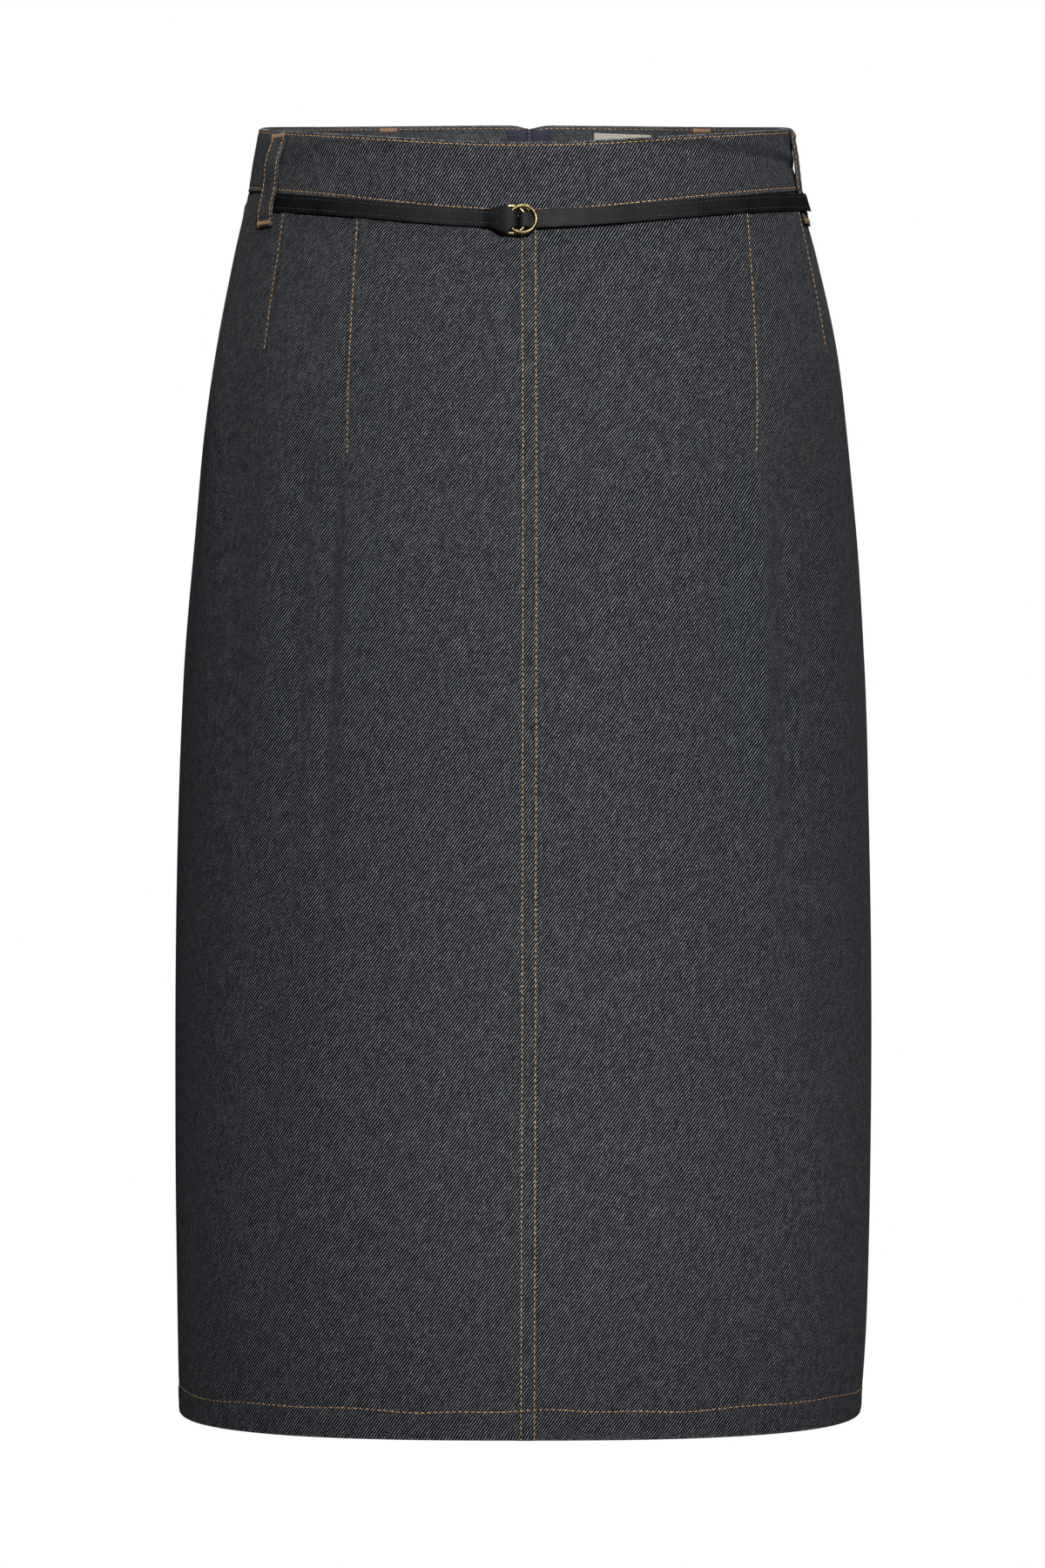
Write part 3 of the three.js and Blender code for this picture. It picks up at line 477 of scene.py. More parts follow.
def build_panel(name, from_line, to_line, lap=0):
    """lap is 1 on the front that laps over, and 0 on the others."""
    reach = (float(from_line(MIDDLE_Z)), float(to_line(MIDDLE_Z)))
    darts = [d for d in DARTS if reach[0] < d[0] < reach[1]]
    darts.sort(key=lambda d: d[0])
    lines = [from_line] + [lambda z, d=d: dart_turn(d, z) for d in darts] + [to_line]
    at_head = [float(line(HEAD_Z)) for line in lines]
    columns = panel_columns(at_head)
    steps = int((-HEM_Z - 30) / ROW_STEP)
    guess = np.concatenate([np.linspace(-10, HEM_Z + HEM_HEIGHT, steps), HEM_Z + NEAR_HEM])
    line_turns = np.stack([np.broadcast_to(line(guess), guess.shape) for line in lines], -1)
    turn = np.stack([np.interp(columns, at_head, row) for row in line_turns])
    top = band_seam(turn) + UNDER_BAND
    share = np.linspace(0, 1, steps)[:, None]
    upper = mix(top[:steps], HEM_Z + HEM_HEIGHT, share)
    lower = np.broadcast_to((HEM_Z + NEAR_HEM)[:, None], (len(NEAR_HEM), len(columns)))
    z = np.concatenate([upper, lower])
    scale = np.radians(1) * section("left", z) * FOLD_REACH
    from_edges = np.minimum(turn - turn[:, :1], turn[:, -1:] - turn) * scale
    seam_drop = -SEAM_DROP * (1 - smooth(from_edges / SEAM_ROUND))
    lap_rise = 0.0
    worn = np.zeros_like(z)
    if lap:
        front_scale = np.radians(1) * section("front", z)
        from_lap = (turn[:, -1:] - turn) * front_scale
        lap_rise = LAP_RISE * smooth((LAP_WIDTH + LAP_SLOPE - from_lap) / LAP_SLOPE)
        lap_rise = lap_rise - rounded_edge(from_lap, LAP_EDGE)
        lap_rise = lap_rise - 0.2 * bump_at(from_lap - FRONT_ROWS[0], 0.8)
        seam_drop = seam_drop * smooth(from_lap / SEAM_ROUND)
        worn = np.maximum(worn, FOLD_WEAR * bump_at(from_lap - 0.3, 0.55))
    for dart in DARTS:
        share = (dart[1] - z) / (dart[1] - dart[3])
        rubbed = FOLD_WEAR * bump_at(dart_distance(dart, turn, z) + 0.35, 0.5)
        worn = np.maximum(worn, rubbed * (share > 0) * (share < 1))
    above_hem = z - HEM_Z
    worn = np.maximum(worn, EDGE_WEAR * bump_at(above_hem, 0.9))
    in_hem = 1 - smooth((above_hem - HEM_HEIGHT + 1) / 2)
    wall = mix(PANEL_WALL, HEM_WALL, in_hem)
    tuck = rounded_edge(above_hem, wall)
    under = -SEAM_DROP * smooth((z - band_seam(turn) + 0.6) / 0.8)
    fine = dart_rise(turn, z) + sewn_rise(turn, z) + seam_drop + lap_rise + under
    outer = cloth_point(turn, z, fine - tuck)
    inner = cloth_point(turn, z, sewn_rise(turn, z) * INNER_SHARE + tuck - wall)
    return wall_mesh(name, outer, inner, worn)


# %% Build the panels
panels = {
    "panel_front_left": build_panel(
        "denim_front_left", lambda z: np.full(np.shape(z), SIDE_SEAM_LEFT), front_seam, lap=1
    ),
    "panel_front_right": build_panel(
        "denim_front_right", front_seam, lambda z: np.full(np.shape(z), SIDE_SEAM_RIGHT)
    ),
    "panel_back_right": build_panel(
        "denim_back_right",
        lambda z: np.full(np.shape(z), SIDE_SEAM_RIGHT),
        lambda z: np.full(np.shape(z), CLOSURE_TURN - PANEL_HALF_GAP),
    ),
    "panel_back_left": build_panel(
        "denim_back_left",
        lambda z: np.full(np.shape(z), CLOSURE_TURN - 360 + PANEL_HALF_GAP),
        lambda z: np.full(np.shape(z), SIDE_SEAM_LEFT),
    ),
}
for piece in panels.values():
    print(piece.name, len(piece.data.polygons) * 2, "triangles,", round(one_layer_area(piece), 3), "m2")

# %% [markdown]
# ## The waistband
# The waistband is curved, so it is cut twice, as an outer band and a facing. They are sewn together
# along the top, turned and topstitched, so the band is thicker than the panels, stands a little
# proud and ends in a soft rounded edge. It is in three pieces: one across the front, and two that
# meet at the closure behind, where the band is drawn up a little in soft gathers.

# %% Waistband pieces
BAND_WALL = 3.0
BAND_PROUD = 0.8
BAND_STITCH_INSET = 2.0
BAND_ROWS = 30
CLOSURE_HALF_GAP = 0.43
GATHER_RISE = 0.7
GATHER_PITCH = 9
GATHER_TURNS = (108, 172)
SEAM_WEAR = 0.3
NEAR_EDGE = np.array([0.0, 0.08, 0.25, 0.5, 0.9, 1.5, 2.0, 2.6, 3.4])


def band_rise(turn, z):
    """A folded band sinks along its stitching, ripples a little and is gathered behind."""
    top, seam = top_edge(turn), band_seam(turn)
    along = np.radians(turn) * section("left", z) * FOLD_REACH
    wander = 4 * np.sin(along / 37 + 0.6) + 2.5 * np.sin(along / 19)
    furrows = -0.3 * bump_at(z - top + BAND_STITCH_INSET, 1.1)
    furrows = furrows - 0.35 * bump_at(z - seam - BAND_STITCH_INSET, 1.1)
    pucker = 0.22 * np.sin(2 * np.pi * (along + wander) / 14) * bump_at(z - seam - 1, 6)
    pucker = pucker + 0.16 * np.sin(2 * np.pi * (along - wander) / 19) * bump_at(z - top, 6)
    right = smooth((turn - 8) / 25) * smooth((95 - turn) / 20)
    ridge = bump_at(z - 3 - 1.5 * np.sin(along / 30), 3.4)
    ripple = 0.9 * right * (ridge - 1.3 * bump_at(z + 2.5, 1.9))
    left = smooth((-turn - 15) / 25) * smooth((85 + turn) / 20)
    ripple = ripple + 0.5 * left * (bump_at(z - 3, 5) - bump_at(z + 7 + 2 * np.sin(along / 26), 4))
    back = smooth((np.abs(turn) - GATHER_TURNS[0]) / 8) * smooth((GATHER_TURNS[1] - np.abs(turn)) / 6)
    waves = np.sin(2 * np.pi * (along + wander) / GATHER_PITCH)
    gathers = GATHER_RISE * back * waves * bump_at(z - top + 11, 9)
    return furrows + pucker + ripple + gathers


def build_band(name, from_turn, to_turn):
    turns = panel_columns([from_turn, to_turn])
    middle = np.linspace(0, 1, BAND_ROWS)[1:-1]
    top, seam = top_edge(turns), band_seam(turns)
    tall = top - seam
    falls = np.concatenate([NEAR_EDGE[None, :].repeat(len(turns), 0),
                            mix(NEAR_EDGE[-1], tall[:, None] - NEAR_EDGE[-1], middle[None, :]),
                            tall[:, None] - NEAR_EDGE[::-1][None, :]], axis=1).T
    turn = np.broadcast_to(turns, falls.shape)
    z = top - falls
    tuck = rounded_edge(falls, BAND_WALL) + rounded_edge((tall - falls), 1.2)
    scale = np.radians(1) * section("left", z) * FOLD_REACH
    from_edges = np.minimum(turn - from_turn, to_turn - turn) * scale
    tuck = tuck + SEAM_DROP * (1 - smooth(from_edges / SEAM_ROUND))
    rise = band_rise(turn, z)
    outer = cloth_point(turn, z, BAND_PROUD + rise - tuck)
    inner_out = BAND_PROUD - BAND_WALL + INNER_SHARE * rise + rounded_edge(falls, BAND_WALL)
    inner = cloth_point(turn, z, inner_out)
    worn = EDGE_WEAR * bump_at(falls, 0.8) + SEAM_WEAR * bump_at(tall - falls, 0.6)
    return wall_mesh(name, outer, inner, worn)


bands = {
    "waistband_front": build_band("denim_waistband_front", SIDE_SEAM_LEFT, SIDE_SEAM_RIGHT),
    "waistband_back_right": build_band(
        "denim_waistband_back_right", SIDE_SEAM_RIGHT, CLOSURE_TURN - CLOSURE_HALF_GAP
    ),
    "waistband_back_left": build_band(
        "denim_waistband_back_left", CLOSURE_TURN - 360 + CLOSURE_HALF_GAP, SIDE_SEAM_LEFT
    ),
}
for piece in bands.values():
    print(piece.name, len(piece.data.polygons) * 2, "triangles,", round(one_layer_area(piece), 4), "m2")

# %% [markdown]
# ## Belt loops
# A loop is a narrow strip of the same cloth, folded to fourteen millimetres, with a row of stitching
# down each side. Its head and foot are held flat by dense bar tacks. The loop with a strap under it
# bows out to let the strap through, and the others lie close below the waistband.

# %% Belt loops
LOOP_WALL = 1.3
LOOP_BELOW_EDGE = 1.5
LOOP_LENGTH = 50
LOOP_STATIONS = 48
LOOP_ROW = 5.2
# Shares of a loop's length from its head, and how far it stands off the cloth at each.
OVER_STRAP = (
    (0, 0.08, 0.24, 0.36, 0.5, 0.6, 0.84, 0.93, 1),
    (1.1, 1.4, 3.1, 3.5, 2.5, 1.95, 1.95, 1.0, 0.3),
)
CLOSE = (
    (0, 0.08, 0.24, 0.36, 0.5, 0.6, 0.7, 0.8, 0.9, 1),
    (1.1, 1.4, 2.7, 2.9, 2.1, 1.35, 1.15, 0.6, 0.35, 0.3),
)
# Each loop: the turn of its head, the turn of its foot, and how it stands off.
LOOPS = {
    "loop_front_left": (-66.8, -66.2, OVER_STRAP),
    "loop_front_right": (82, 79, CLOSE),
    "loop_back_left": (-139.7, -139, CLOSE),
    "loop_back_right": (127.4, 127, CLOSE),
}
LOOP_FLAT_HALF = 6.2
LOOP_ACROSS = np.array([-7, -6.7, -6.2, -5.7, -5.2, -4.7, -3.4, -1.2, 1.2, 3.4, 4.7, 5.2, 5.7, 6.2, 6.7, 7])


def loop_grid(loop, share, across, out):
    """Points of a loop's strip: share runs down it and across is in millimetres from its middle."""
    head_turn, foot_turn, stand_off = loop
    turn = mix(head_turn, foot_turn, share)
    z = top_edge(turn) - LOOP_BELOW_EDGE - share * LOOP_LENGTH
    middle = cloth_point(turn, z, curve_through(*stand_off, share) + out)
    side = cloth_point(turn + 1, z) - cloth_point(turn - 1, z)
    side = side / np.linalg.norm(side, axis=-1, keepdims=True)
    return middle + side * (across * MM)[..., None]


def build_loop(name, loop):
    share, across = np.meshgrid(np.linspace(0, 1, LOOP_STATIONS), LOOP_ACROSS, indexing="ij")
    edge = np.maximum(np.abs(across) - LOOP_FLAT_HALF, 0) / 0.8
    tuck = 0.55 * edge**2
    furrow = 0.2 * bump_at(np.abs(across) - LOOP_ROW, 0.6)
    puff = 0.12 * np.sin(share * 60 + across) * (1 - edge)
    outer = loop_grid(loop, share, across, LOOP_WALL - tuck - furrow + puff)
    inner = loop_grid(loop, share, across, tuck)
    worn = EDGE_WEAR * bump_at(np.abs(across) - 6.85, 0.35)
    return wall_mesh(name, outer, inner, worn)


loops = {}
for node, loop in LOOPS.items():
    loops[node] = build_loop("denim_" + node, loop)
    print(loops[node].name, round(one_layer_area(loops[node]) * 1e4, 1), "cm2")

# %% [markdown]
# ## Leather, rings, zip and label
# These small parts are already the right shape in the solids, but with hard edges. A copy of each
# solid, with its doubled points merged and a small bevel, catches the light as cut leather and cast
# metal do. The two rings are made again as fine tori on the solids' own circles.

# %% Copies with softened edges
# Each part: its new name, the bevel's width in millimetres and its segments.
BEVELS = {
    "belt_strap_left": ("leather_strap_left", 0.28, 3),
    "belt_strap_right": ("leather_strap_right", 0.28, 3),
    "zip_slider": ("brass_slider", 0.2, 2),
    "zip_pull_tab": ("brass_pull_tab", 0.22, 3),
    "zip_tape_left": ("ribbon_tape_left", 0.15, 1),
    "zip_tape_right": ("ribbon_tape_right", 0.15, 1),
    "label": ("woven_label", 0.2, 2),
}
MERGE = 0.00002
FLAT_ANGLE = math.radians(28)
LEVEL_ANGLE = math.radians(0.5)


def softened(node, name, width, segments):
    work = bmesh.new()
    work.from_mesh(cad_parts[node].data)
    bmesh.ops.remove_doubles(work, verts=work.verts, dist=MERGE)
    bmesh.ops.dissolve_limit(work, angle_limit=LEVEL_ANGLE, verts=work.verts, edges=work.edges)
    sharp = [e for e in work.edges if e.is_manifold and e.calc_face_angle(0) > FLAT_ANGLE]
    bmesh.ops.bevel(work, geom=sharp, offset=width * MM, segments=segments, affect="EDGES", profile=0.5)
    mesh = bpy.data.meshes.new(name)
    work.to_mesh(mesh)
    work.free()
    mesh.shade_smooth()
    return put(name, mesh)


softened_parts = {node: softened(node, *how) for node, how in BEVELS.items()}
for node, piece in softened_parts.items():
    print(piece.name, len(piece.data.polygons), "faces,", round(one_layer_area(piece) * 1e4, 2), "cm2")

# %% Belt rings
RING_RADIUS = 7.05
RING_WIRE = 0.95
RING_STEPS = 72
WIRE_STEPS = 18


def ring_on(node, name):
    """A fine torus on the circle of a solid ring, found from the solid's own points."""
    points = np.array([v.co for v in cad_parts[node].data.vertices])
    centre = (points.max(0) + points.min(0)) / 2
    axis = np.linalg.svd(points - points.mean(0), full_matrices=False)[2][2]
    turned = Vector((0, 0, 1)).rotation_difference(Vector(axis)).to_matrix()
    round_ring = np.linspace(0, 2 * np.pi, RING_STEPS, endpoint=False)[:, None]
    round_wire = np.linspace(0, 2 * np.pi, WIRE_STEPS, endpoint=False)[None, :]
    radius = (RING_RADIUS + RING_WIRE * np.cos(round_wire)) * MM
    flat = np.stack([radius * np.cos(round_ring), radius * np.sin(round_ring),
                     np.broadcast_to(RING_WIRE * MM * np.sin(round_wire), (RING_STEPS, WIRE_STEPS))], -1)
    placed = flat.reshape(-1, 3) @ np.array(turned).T + centre
    at = np.arange(RING_STEPS * WIRE_STEPS).reshape(RING_STEPS, WIRE_STEPS)
    beside, over = np.roll(at, -1, 0), np.roll(at, -1, 1)
    quads = np.stack([at, beside, np.roll(beside, -1, 1), over], -1).reshape(-1, 4)
    mesh = bpy.data.meshes.new(name)
    mesh.from_pydata(placed.tolist(), [], quads.tolist())
    mesh.shade_smooth()
    return put(name, mesh)


rings = {
    "belt_ring_left": ring_on("belt_ring_left", "brass_ring_left"),
    "belt_ring_right": ring_on("belt_ring_right", "brass_ring_right"),
}
print("rings:", [len(r.data.polygons) for r in rings.values()])

# %% [markdown]
# ## Finishes: a small language for shaders
# A shader is a graph of nodes, and long sums are hard to read as nodes. The class below wraps a
# socket so that a sum written in Python adds the Math nodes. Colours and vectors are blended by Mix
# nodes, which keep all three channels.

# %% The shader helper
class Value:
    """A number that varies over the surface."""

    def __init__(self, finish, socket):
        self.finish = finish
        self.socket = socket

    def math(self, operation, *others):
        sockets = dict(enumerate([self, *others]))
        return self.finish.node("ShaderNodeMath", {"operation": operation}, sockets)["Value"]

    def __add__(self, other):
        return self.math("ADD", other)

    def __mul__(self, other):
        return self.math("MULTIPLY", other)

    def __sub__(self, other):
        return self.math("SUBTRACT", other)

    def __rsub__(self, other):
        return (self * -1) + other

    def __truediv__(self, other):
        return self.math("DIVIDE", other)


class Finish:
    """A material and the nodes that make it."""

    def __init__(self, name, **constants):
        self.material = bpy.data.materials.new(name)
        self.material.use_nodes = True
        self.tree = self.material.node_tree
        self.shader = self.tree.nodes["Principled BSDF"]
        for socket, value in constants.items():
            self.shader.inputs[socket.replace("_", " ")].default_value = value

    def node(self, kind, settings=None, sockets=None):
        """Adds any node and returns its outputs by name."""
        made = self.tree.nodes.new(kind)
        for key, value in (settings or {}).items():
            setattr(made, key, value)
        for key, value in (sockets or {}).items():
            if isinstance(value, Value):
                self.tree.links.new(value.socket, made.inputs[key])
            else:
                made.inputs[key].default_value = value
        return {s.name: Value(self, s) for s in made.outputs if s.enabled}

    def attribute(self, name):
        return self.node("ShaderNodeAttribute", {"attribute_name": name})["Fac"]

    def noise(self, vector, scale, detail):
        sockets = {"Vector": vector, "Scale": scale, "Detail": detail}
        return self.node("ShaderNodeTexNoise", {}, sockets)["Fac"]

    def steps(self, value, low, high, from_value=0.0, to_value=1.0):
        """value between low and high, spread smoothly from one number to another."""
        sockets = {"Value": value, "From Min": low, "From Max": high}
        sockets.update({"To Min": from_value, "To Max": to_value})
        return self.node("ShaderNodeMapRange", {"interpolation_type": "SMOOTHSTEP"}, sockets)["Result"]

    def blend(self, share, first, second):
        made = self.tree.nodes.new("ShaderNodeMix")
        made.data_type = "RGBA"
        for socket, value in ((made.inputs[0], share), (made.inputs[6], first), (made.inputs[7], second)):
            if isinstance(value, Value):
                self.tree.links.new(value.socket, socket)
            else:
                socket.default_value = value
        return Value(self, made.outputs[2])

    def place(self, x, y, z=0.0):
        return self.node("ShaderNodeCombineXYZ", {}, {"X": x, "Y": y, "Z": z})["Vector"]

    def feed(self, **sockets):
        for name, value in sockets.items():
            self.tree.links.new(value.socket, self.shader.inputs[name.replace("_", " ")])

    def bump(self, height, distance, strength=1.0):
        sockets = {"Height": height, "Distance": distance, "Strength": strength}
        self.feed(Normal=self.node("ShaderNodeBump", {}, sockets)["Normal"])


def srgb(red, green, blue):
    """A screen colour from 0 to 255 as the linear colour that a shader wants."""
    channels = [c / 255 for c in (red, green, blue)]
    linear = [c / 12.92 if c <= 0.04045 else ((c + 0.055) / 1.055) ** 2.4 for c in channels]
    return (*linear, 1.0)


print("mid grey:", round(srgb(118, 118, 118)[0], 3))

# %% [markdown]
# ## Denim
# Denim is a twill: blue-black warp yarns run down the cloth and grey-white weft yarns show between
# them as short ticks in slanted lines. The yarns are uneven, so the lines wander, the ticks differ
# and pale slubs run down the cloth. On the reverse the weft lies between the ridges. The pattern is
# worked out from the flat layout, so it follows each piece's cut. Photos of cloth could be used too,
# but a rule stays sharp close up. Folded edges lose their dye first, which the worn attribute shows.

# %% Denim finish
TWILL_PITCH = 0.00156
TICK_PITCH = 0.0009
TICK_SHIFT = 0.37
LINE_WANDER = 0.45
REVERSE_WEFT = 0.32
WARP = srgb(4, 5, 12)
WEFT = srgb(150, 152, 154)
RUBBED = srgb(112, 110, 110)


def denim(name, slope):
    """slope is the twill's slant in degrees."""
    f = Finish(name, Roughness=0.95, Specular_IOR_Level=0.06, Sheen_Weight=0.02, Sheen_Roughness=0.5)
    flat = f.node("ShaderNodeUVMap", {"uv_map": "cloth"})["UV"]
    apart = f.node("ShaderNodeSeparateXYZ", {}, {"Vector": flat})
    u, v = apart["X"], apart["Y"]
    slub = f.noise(f.place(u * 1300, v * 70), 1.0, 1.0)
    wander = f.noise(f.place(u * 60, v * 60), 1.0, 2.0)
    line = (u - v * (1 / math.tan(math.radians(slope)))) / TWILL_PITCH + wander * LINE_WANDER
    tick = v / TICK_PITCH + line * TICK_SHIFT
    whole_line, whole_tick = line.math("FLOOR"), tick.math("FLOOR")
    luck = f.node("ShaderNodeTexWhiteNoise", {"noise_dimensions": "2D"},
                  {"Vector": f.place(whole_line, whole_tick)})["Value"]
    run = f.noise(f.place(line * 0.9, tick * 0.16), 1.0, 1.0)
    ridge = f.steps((line - whole_line - 0.5).math("ABSOLUTE"), 0.03, 0.23, 1.0, 0.0)
    dash = f.steps((tick - whole_tick - 0.5).math("ABSOLUTE"), 0.25, 0.5, 1.0, 0.85)
    streak = f.steps(slub, 0.32, 0.68, 0.82, 1.14)
    patch = f.noise(flat, 110.0, 3.0)
    bright = luck * 0.42 + 0.37
    shown = ridge * dash * bright * f.steps(run, 0.3, 0.7, 0.82, 1.18) * streak
    shown = shown * f.steps(patch, 0.3, 0.7, 0.91, 1.07)
    reverse = f.attribute("inside")
    between = (1 - ridge * 0.75) * (luck * 0.4 + 0.35) * reverse * REVERSE_WEFT
    amount = shown * (1 - reverse) + between
    colour = f.blend(amount.math("MINIMUM", 1.0), WARP, WEFT)
    rubbed = f.attribute("worn") * f.steps(luck + slub, 0.75, 1.15)
    colour = f.blend(rubbed, colour, RUBBED)
    f.feed(Base_Color=colour)
    f.bump(ridge * dash + slub * 0.4, 0.00016, 0.4)
    return f.material


panel_denim = denim("denim with a slanting twill", 54)
band_denim = denim("denim cut for the waistband", 58)

# %% [markdown]
# ## Leather, metal, tape, label and thread
# The belt is thin near-black leather with a fine grain. The rings and the zip's metal are aged
# brass: dark in patches and bright where they rub. The tapes and the label are fine woven ribbon.

# %% The other finishes
def object_place(finish):
    return finish.node("ShaderNodeTexCoord")["Object"]


def leather():
    f = Finish("dark belt leather", Specular_IOR_Level=0.16)
    here = object_place(f)
    cells = f.node("ShaderNodeTexVoronoi", {"feature": "F1"}, {"Vector": here, "Scale": 1500.0})["Distance"]
    tone = f.noise(here, 90.0, 3.0)
    f.feed(Base_Color=f.blend(f.steps(tone, 0.3, 0.7), srgb(8, 8, 9), srgb(18, 17, 17)))
    f.feed(Roughness=f.steps(tone, 0.2, 0.8, 0.52, 0.68))
    f.bump(cells, 0.00015, 0.5)
    return f.material


def brass():
    f = Finish("aged brass", Metallic=1.0)
    here = object_place(f)
    age = f.noise(here, 420.0, 3.0)
    f.feed(Base_Color=f.blend(f.steps(age, 0.35, 0.65), srgb(84, 70, 44), srgb(156, 136, 92)))
    f.feed(Roughness=f.steps(age, 0.3, 0.7, 0.46, 0.28))
    return f.material


def ribbon(name, dark, light, pitch):
    """A fine woven ribbon with level ribs."""
    f = Finish(name, Roughness=0.85, Specular_IOR_Level=0.15, Sheen_Weight=0.1)
    here = object_place(f)
    apart = f.node("ShaderNodeSeparateXYZ", {}, {"Vector": here})
    rib = (apart["Z"] * (2 * math.pi / pitch)).math("SINE")
    yarn = f.noise(here, 2200.0, 1.0)
    f.feed(Base_Color=f.blend(f.steps(rib * 0.3 + yarn, 0.2, 0.9), dark, light))
    f.bump(rib * 0.5 + yarn, 0.00012, 0.6)
    return f.material


def thread(name, dark, light):
    f = Finish(name, Roughness=0.8, Specular_IOR_Level=0.12, Sheen_Weight=0.04)
    here = object_place(f)
    f.feed(Base_Color=f.blend(f.noise(here, 900.0, 2.0), dark, light))
    return f.material


belt_leather = leather()
aged_brass = brass()
navy_tape = ribbon("navy zip tape", srgb(24, 25, 38), srgb(52, 52, 66), 0.0011)
label_cloth = ribbon("pale woven label", srgb(138, 134, 122), srgb(172, 168, 156), 0.0009)
top_thread = thread("golden-tan topstitching thread", srgb(164, 118, 66), srgb(222, 172, 108))
tack_thread = thread("tan bar-tack thread", srgb(118, 84, 54), srgb(186, 146, 104))
belt_thread = thread("charcoal belt thread", srgb(38, 36, 36), srgb(72, 68, 64))
print("finishes:", len(bpy.data.materials))

# %% [markdown]
# ## Stitches
# A row of stitches is one small shape repeated along a path, which is what Geometry Nodes do best.
# The tree takes a line laid on the cloth, spaces points along it, and sets one short rounded stitch
# on each, turned along the row and up off the cloth, with a little unevenness from a fixed seed. A
# bar tack is the same tree with its stitches close together and turned crosswise.

# %% The stitch tree
STITCH_INPUTS = (
    ("Spacing", "NodeSocketFloat"),
    ("Stitch length", "NodeSocketFloat"),
    ("Thread width", "NodeSocketFloat"),
    ("Crosswise turn", "NodeSocketFloat"),
    ("Unevenness", "NodeSocketFloat"),
    ("Seed", "NodeSocketInt"),
    ("Thread", "NodeSocketMaterial"),
)


def geometry_node(tree, kind, settings=None, sockets=None):
    """Adds a geometry node. A socket's value is a number, a vector, or another node's output."""
    made = tree.nodes.new(kind)
    for key, value in (settings or {}).items():
        setattr(made, key, value)
    for key, value in (sockets or {}).items():
        if isinstance(value, bpy.types.NodeSocket):
            tree.links.new(value, made.inputs[key])
        else:
            made.inputs[key].default_value = value
    return made


def stitch_tree():
    tree = bpy.data.node_groups.new("stitches along a row", "GeometryNodeTree")
    tree.interface.new_socket("Row", in_out="INPUT", socket_type="NodeSocketGeometry")
    for label, kind in STITCH_INPUTS:
        tree.interface.new_socket(label, in_out="INPUT", socket_type=kind)
    tree.interface.new_socket("Stitches", in_out="OUTPUT", socket_type="NodeSocketGeometry")
    given = tree.nodes.new("NodeGroupInput").outputs

    def add(kind, settings=None, sockets=None):
        return geometry_node(tree, kind, settings, sockets).outputs

    row = add("GeometryNodeMeshToCurve", {}, {"Mesh": given["Row"]})["Curve"]
    spaced = add("GeometryNodeResampleCurve", {"mode": "LENGTH"},
                 {"Curve": row, "Length": given["Spacing"]})["Curve"]
    along = add("GeometryNodeInputTangent")["Tangent"]
    off = add("GeometryNodeInputNamedAttribute", {"data_type": "FLOAT_VECTOR"},
              {"Name": "off cloth"})["Attribute"]
    lined = add("FunctionNodeAlignRotationToVector", {"axis": "X"}, {"Vector": along})["Rotation"]
    raised = add("FunctionNodeAlignRotationToVector", {"axis": "Z", "pivot_axis": "X"},
                 {"Rotation": lined, "Vector": off})["Rotation"]
    shake = add("FunctionNodeRandomValue", {"data_type": "FLOAT"},
                {"Min": -1.0, "Max": 1.0, "Seed": given["Seed"]})[1]
    shake = add("ShaderNodeMath", {"operation": "MULTIPLY_ADD"},
                {0: shake, 1: given["Unevenness"], 2: given["Crosswise turn"]})[0]
    spin = add("ShaderNodeCombineXYZ", {}, {"Z": shake})[0]
    spin = add("FunctionNodeEulerToRotation", {}, {"Euler": spin})["Rotation"]
    turned = add("FunctionNodeRotateRotation", {"rotation_space": "LOCAL"},
                 {"Rotation": raised, "Rotate By": spin})["Rotation"]
    stitch = add("GeometryNodeMeshUVSphere", {}, {"Segments": 6, "Rings": 5, "Radius": 0.5})["Mesh"]
    size = add("ShaderNodeCombineXYZ", {},
               {"X": given["Stitch length"], "Y": given["Thread width"], "Z": given["Thread width"]})[0]
    placed = add("GeometryNodeInstanceOnPoints", {},
                 {"Points": spaced, "Instance": stitch, "Rotation": turned, "Scale": size})["Instances"]
    real = add("GeometryNodeRealizeInstances", {}, {"Geometry": placed})["Geometry"]
    done = add("GeometryNodeSetMaterial", {}, {"Geometry": real, "Material": given["Thread"]})["Geometry"]
    tree.links.new(done, tree.nodes.new("NodeGroupOutput").inputs["Stitches"])
    return tree


stitches_along = stitch_tree()


def grown(holder, tree, values):
    """Runs a Geometry Nodes tree on an object and turns the result into its plain mesh."""
    modifier = holder.modifiers.new("tree", "NODES")
    modifier.node_group = tree
    names = {s.name: s.identifier for s in tree.interface.items_tree if s.in_out == "INPUT"}
    for label, value in values.items():
        modifier[names[label]] = value
    graph = bpy.context.evaluated_depsgraph_get()
    mesh = bpy.data.meshes.new_from_object(holder.evaluated_get(graph))
    mesh.name = holder.name
    holder.modifiers.clear()
    holder.data = mesh
    mesh.shade_smooth()
    return holder


print("stitch tree:", len(stitches_along.nodes), "nodes")

# %% Laying rows on the cloth
ROW_GRAIN = 2.0
RAY_FROM_INSIDE = -12
RAY_FROM_OUTSIDE = 14
RAY_REACH = 0.03


def surface_of(*objects):
    """A search tree over the faces of several pieces, for laying rows on them."""
    points, faces = [], []
    for piece in objects:
        start = len(points)
        points += [v.co for v in piece.data.vertices]
        faces += [[start + i for i in p.vertices] for p in piece.data.polygons]
    return BVHTree.FromPolygons(points, faces)


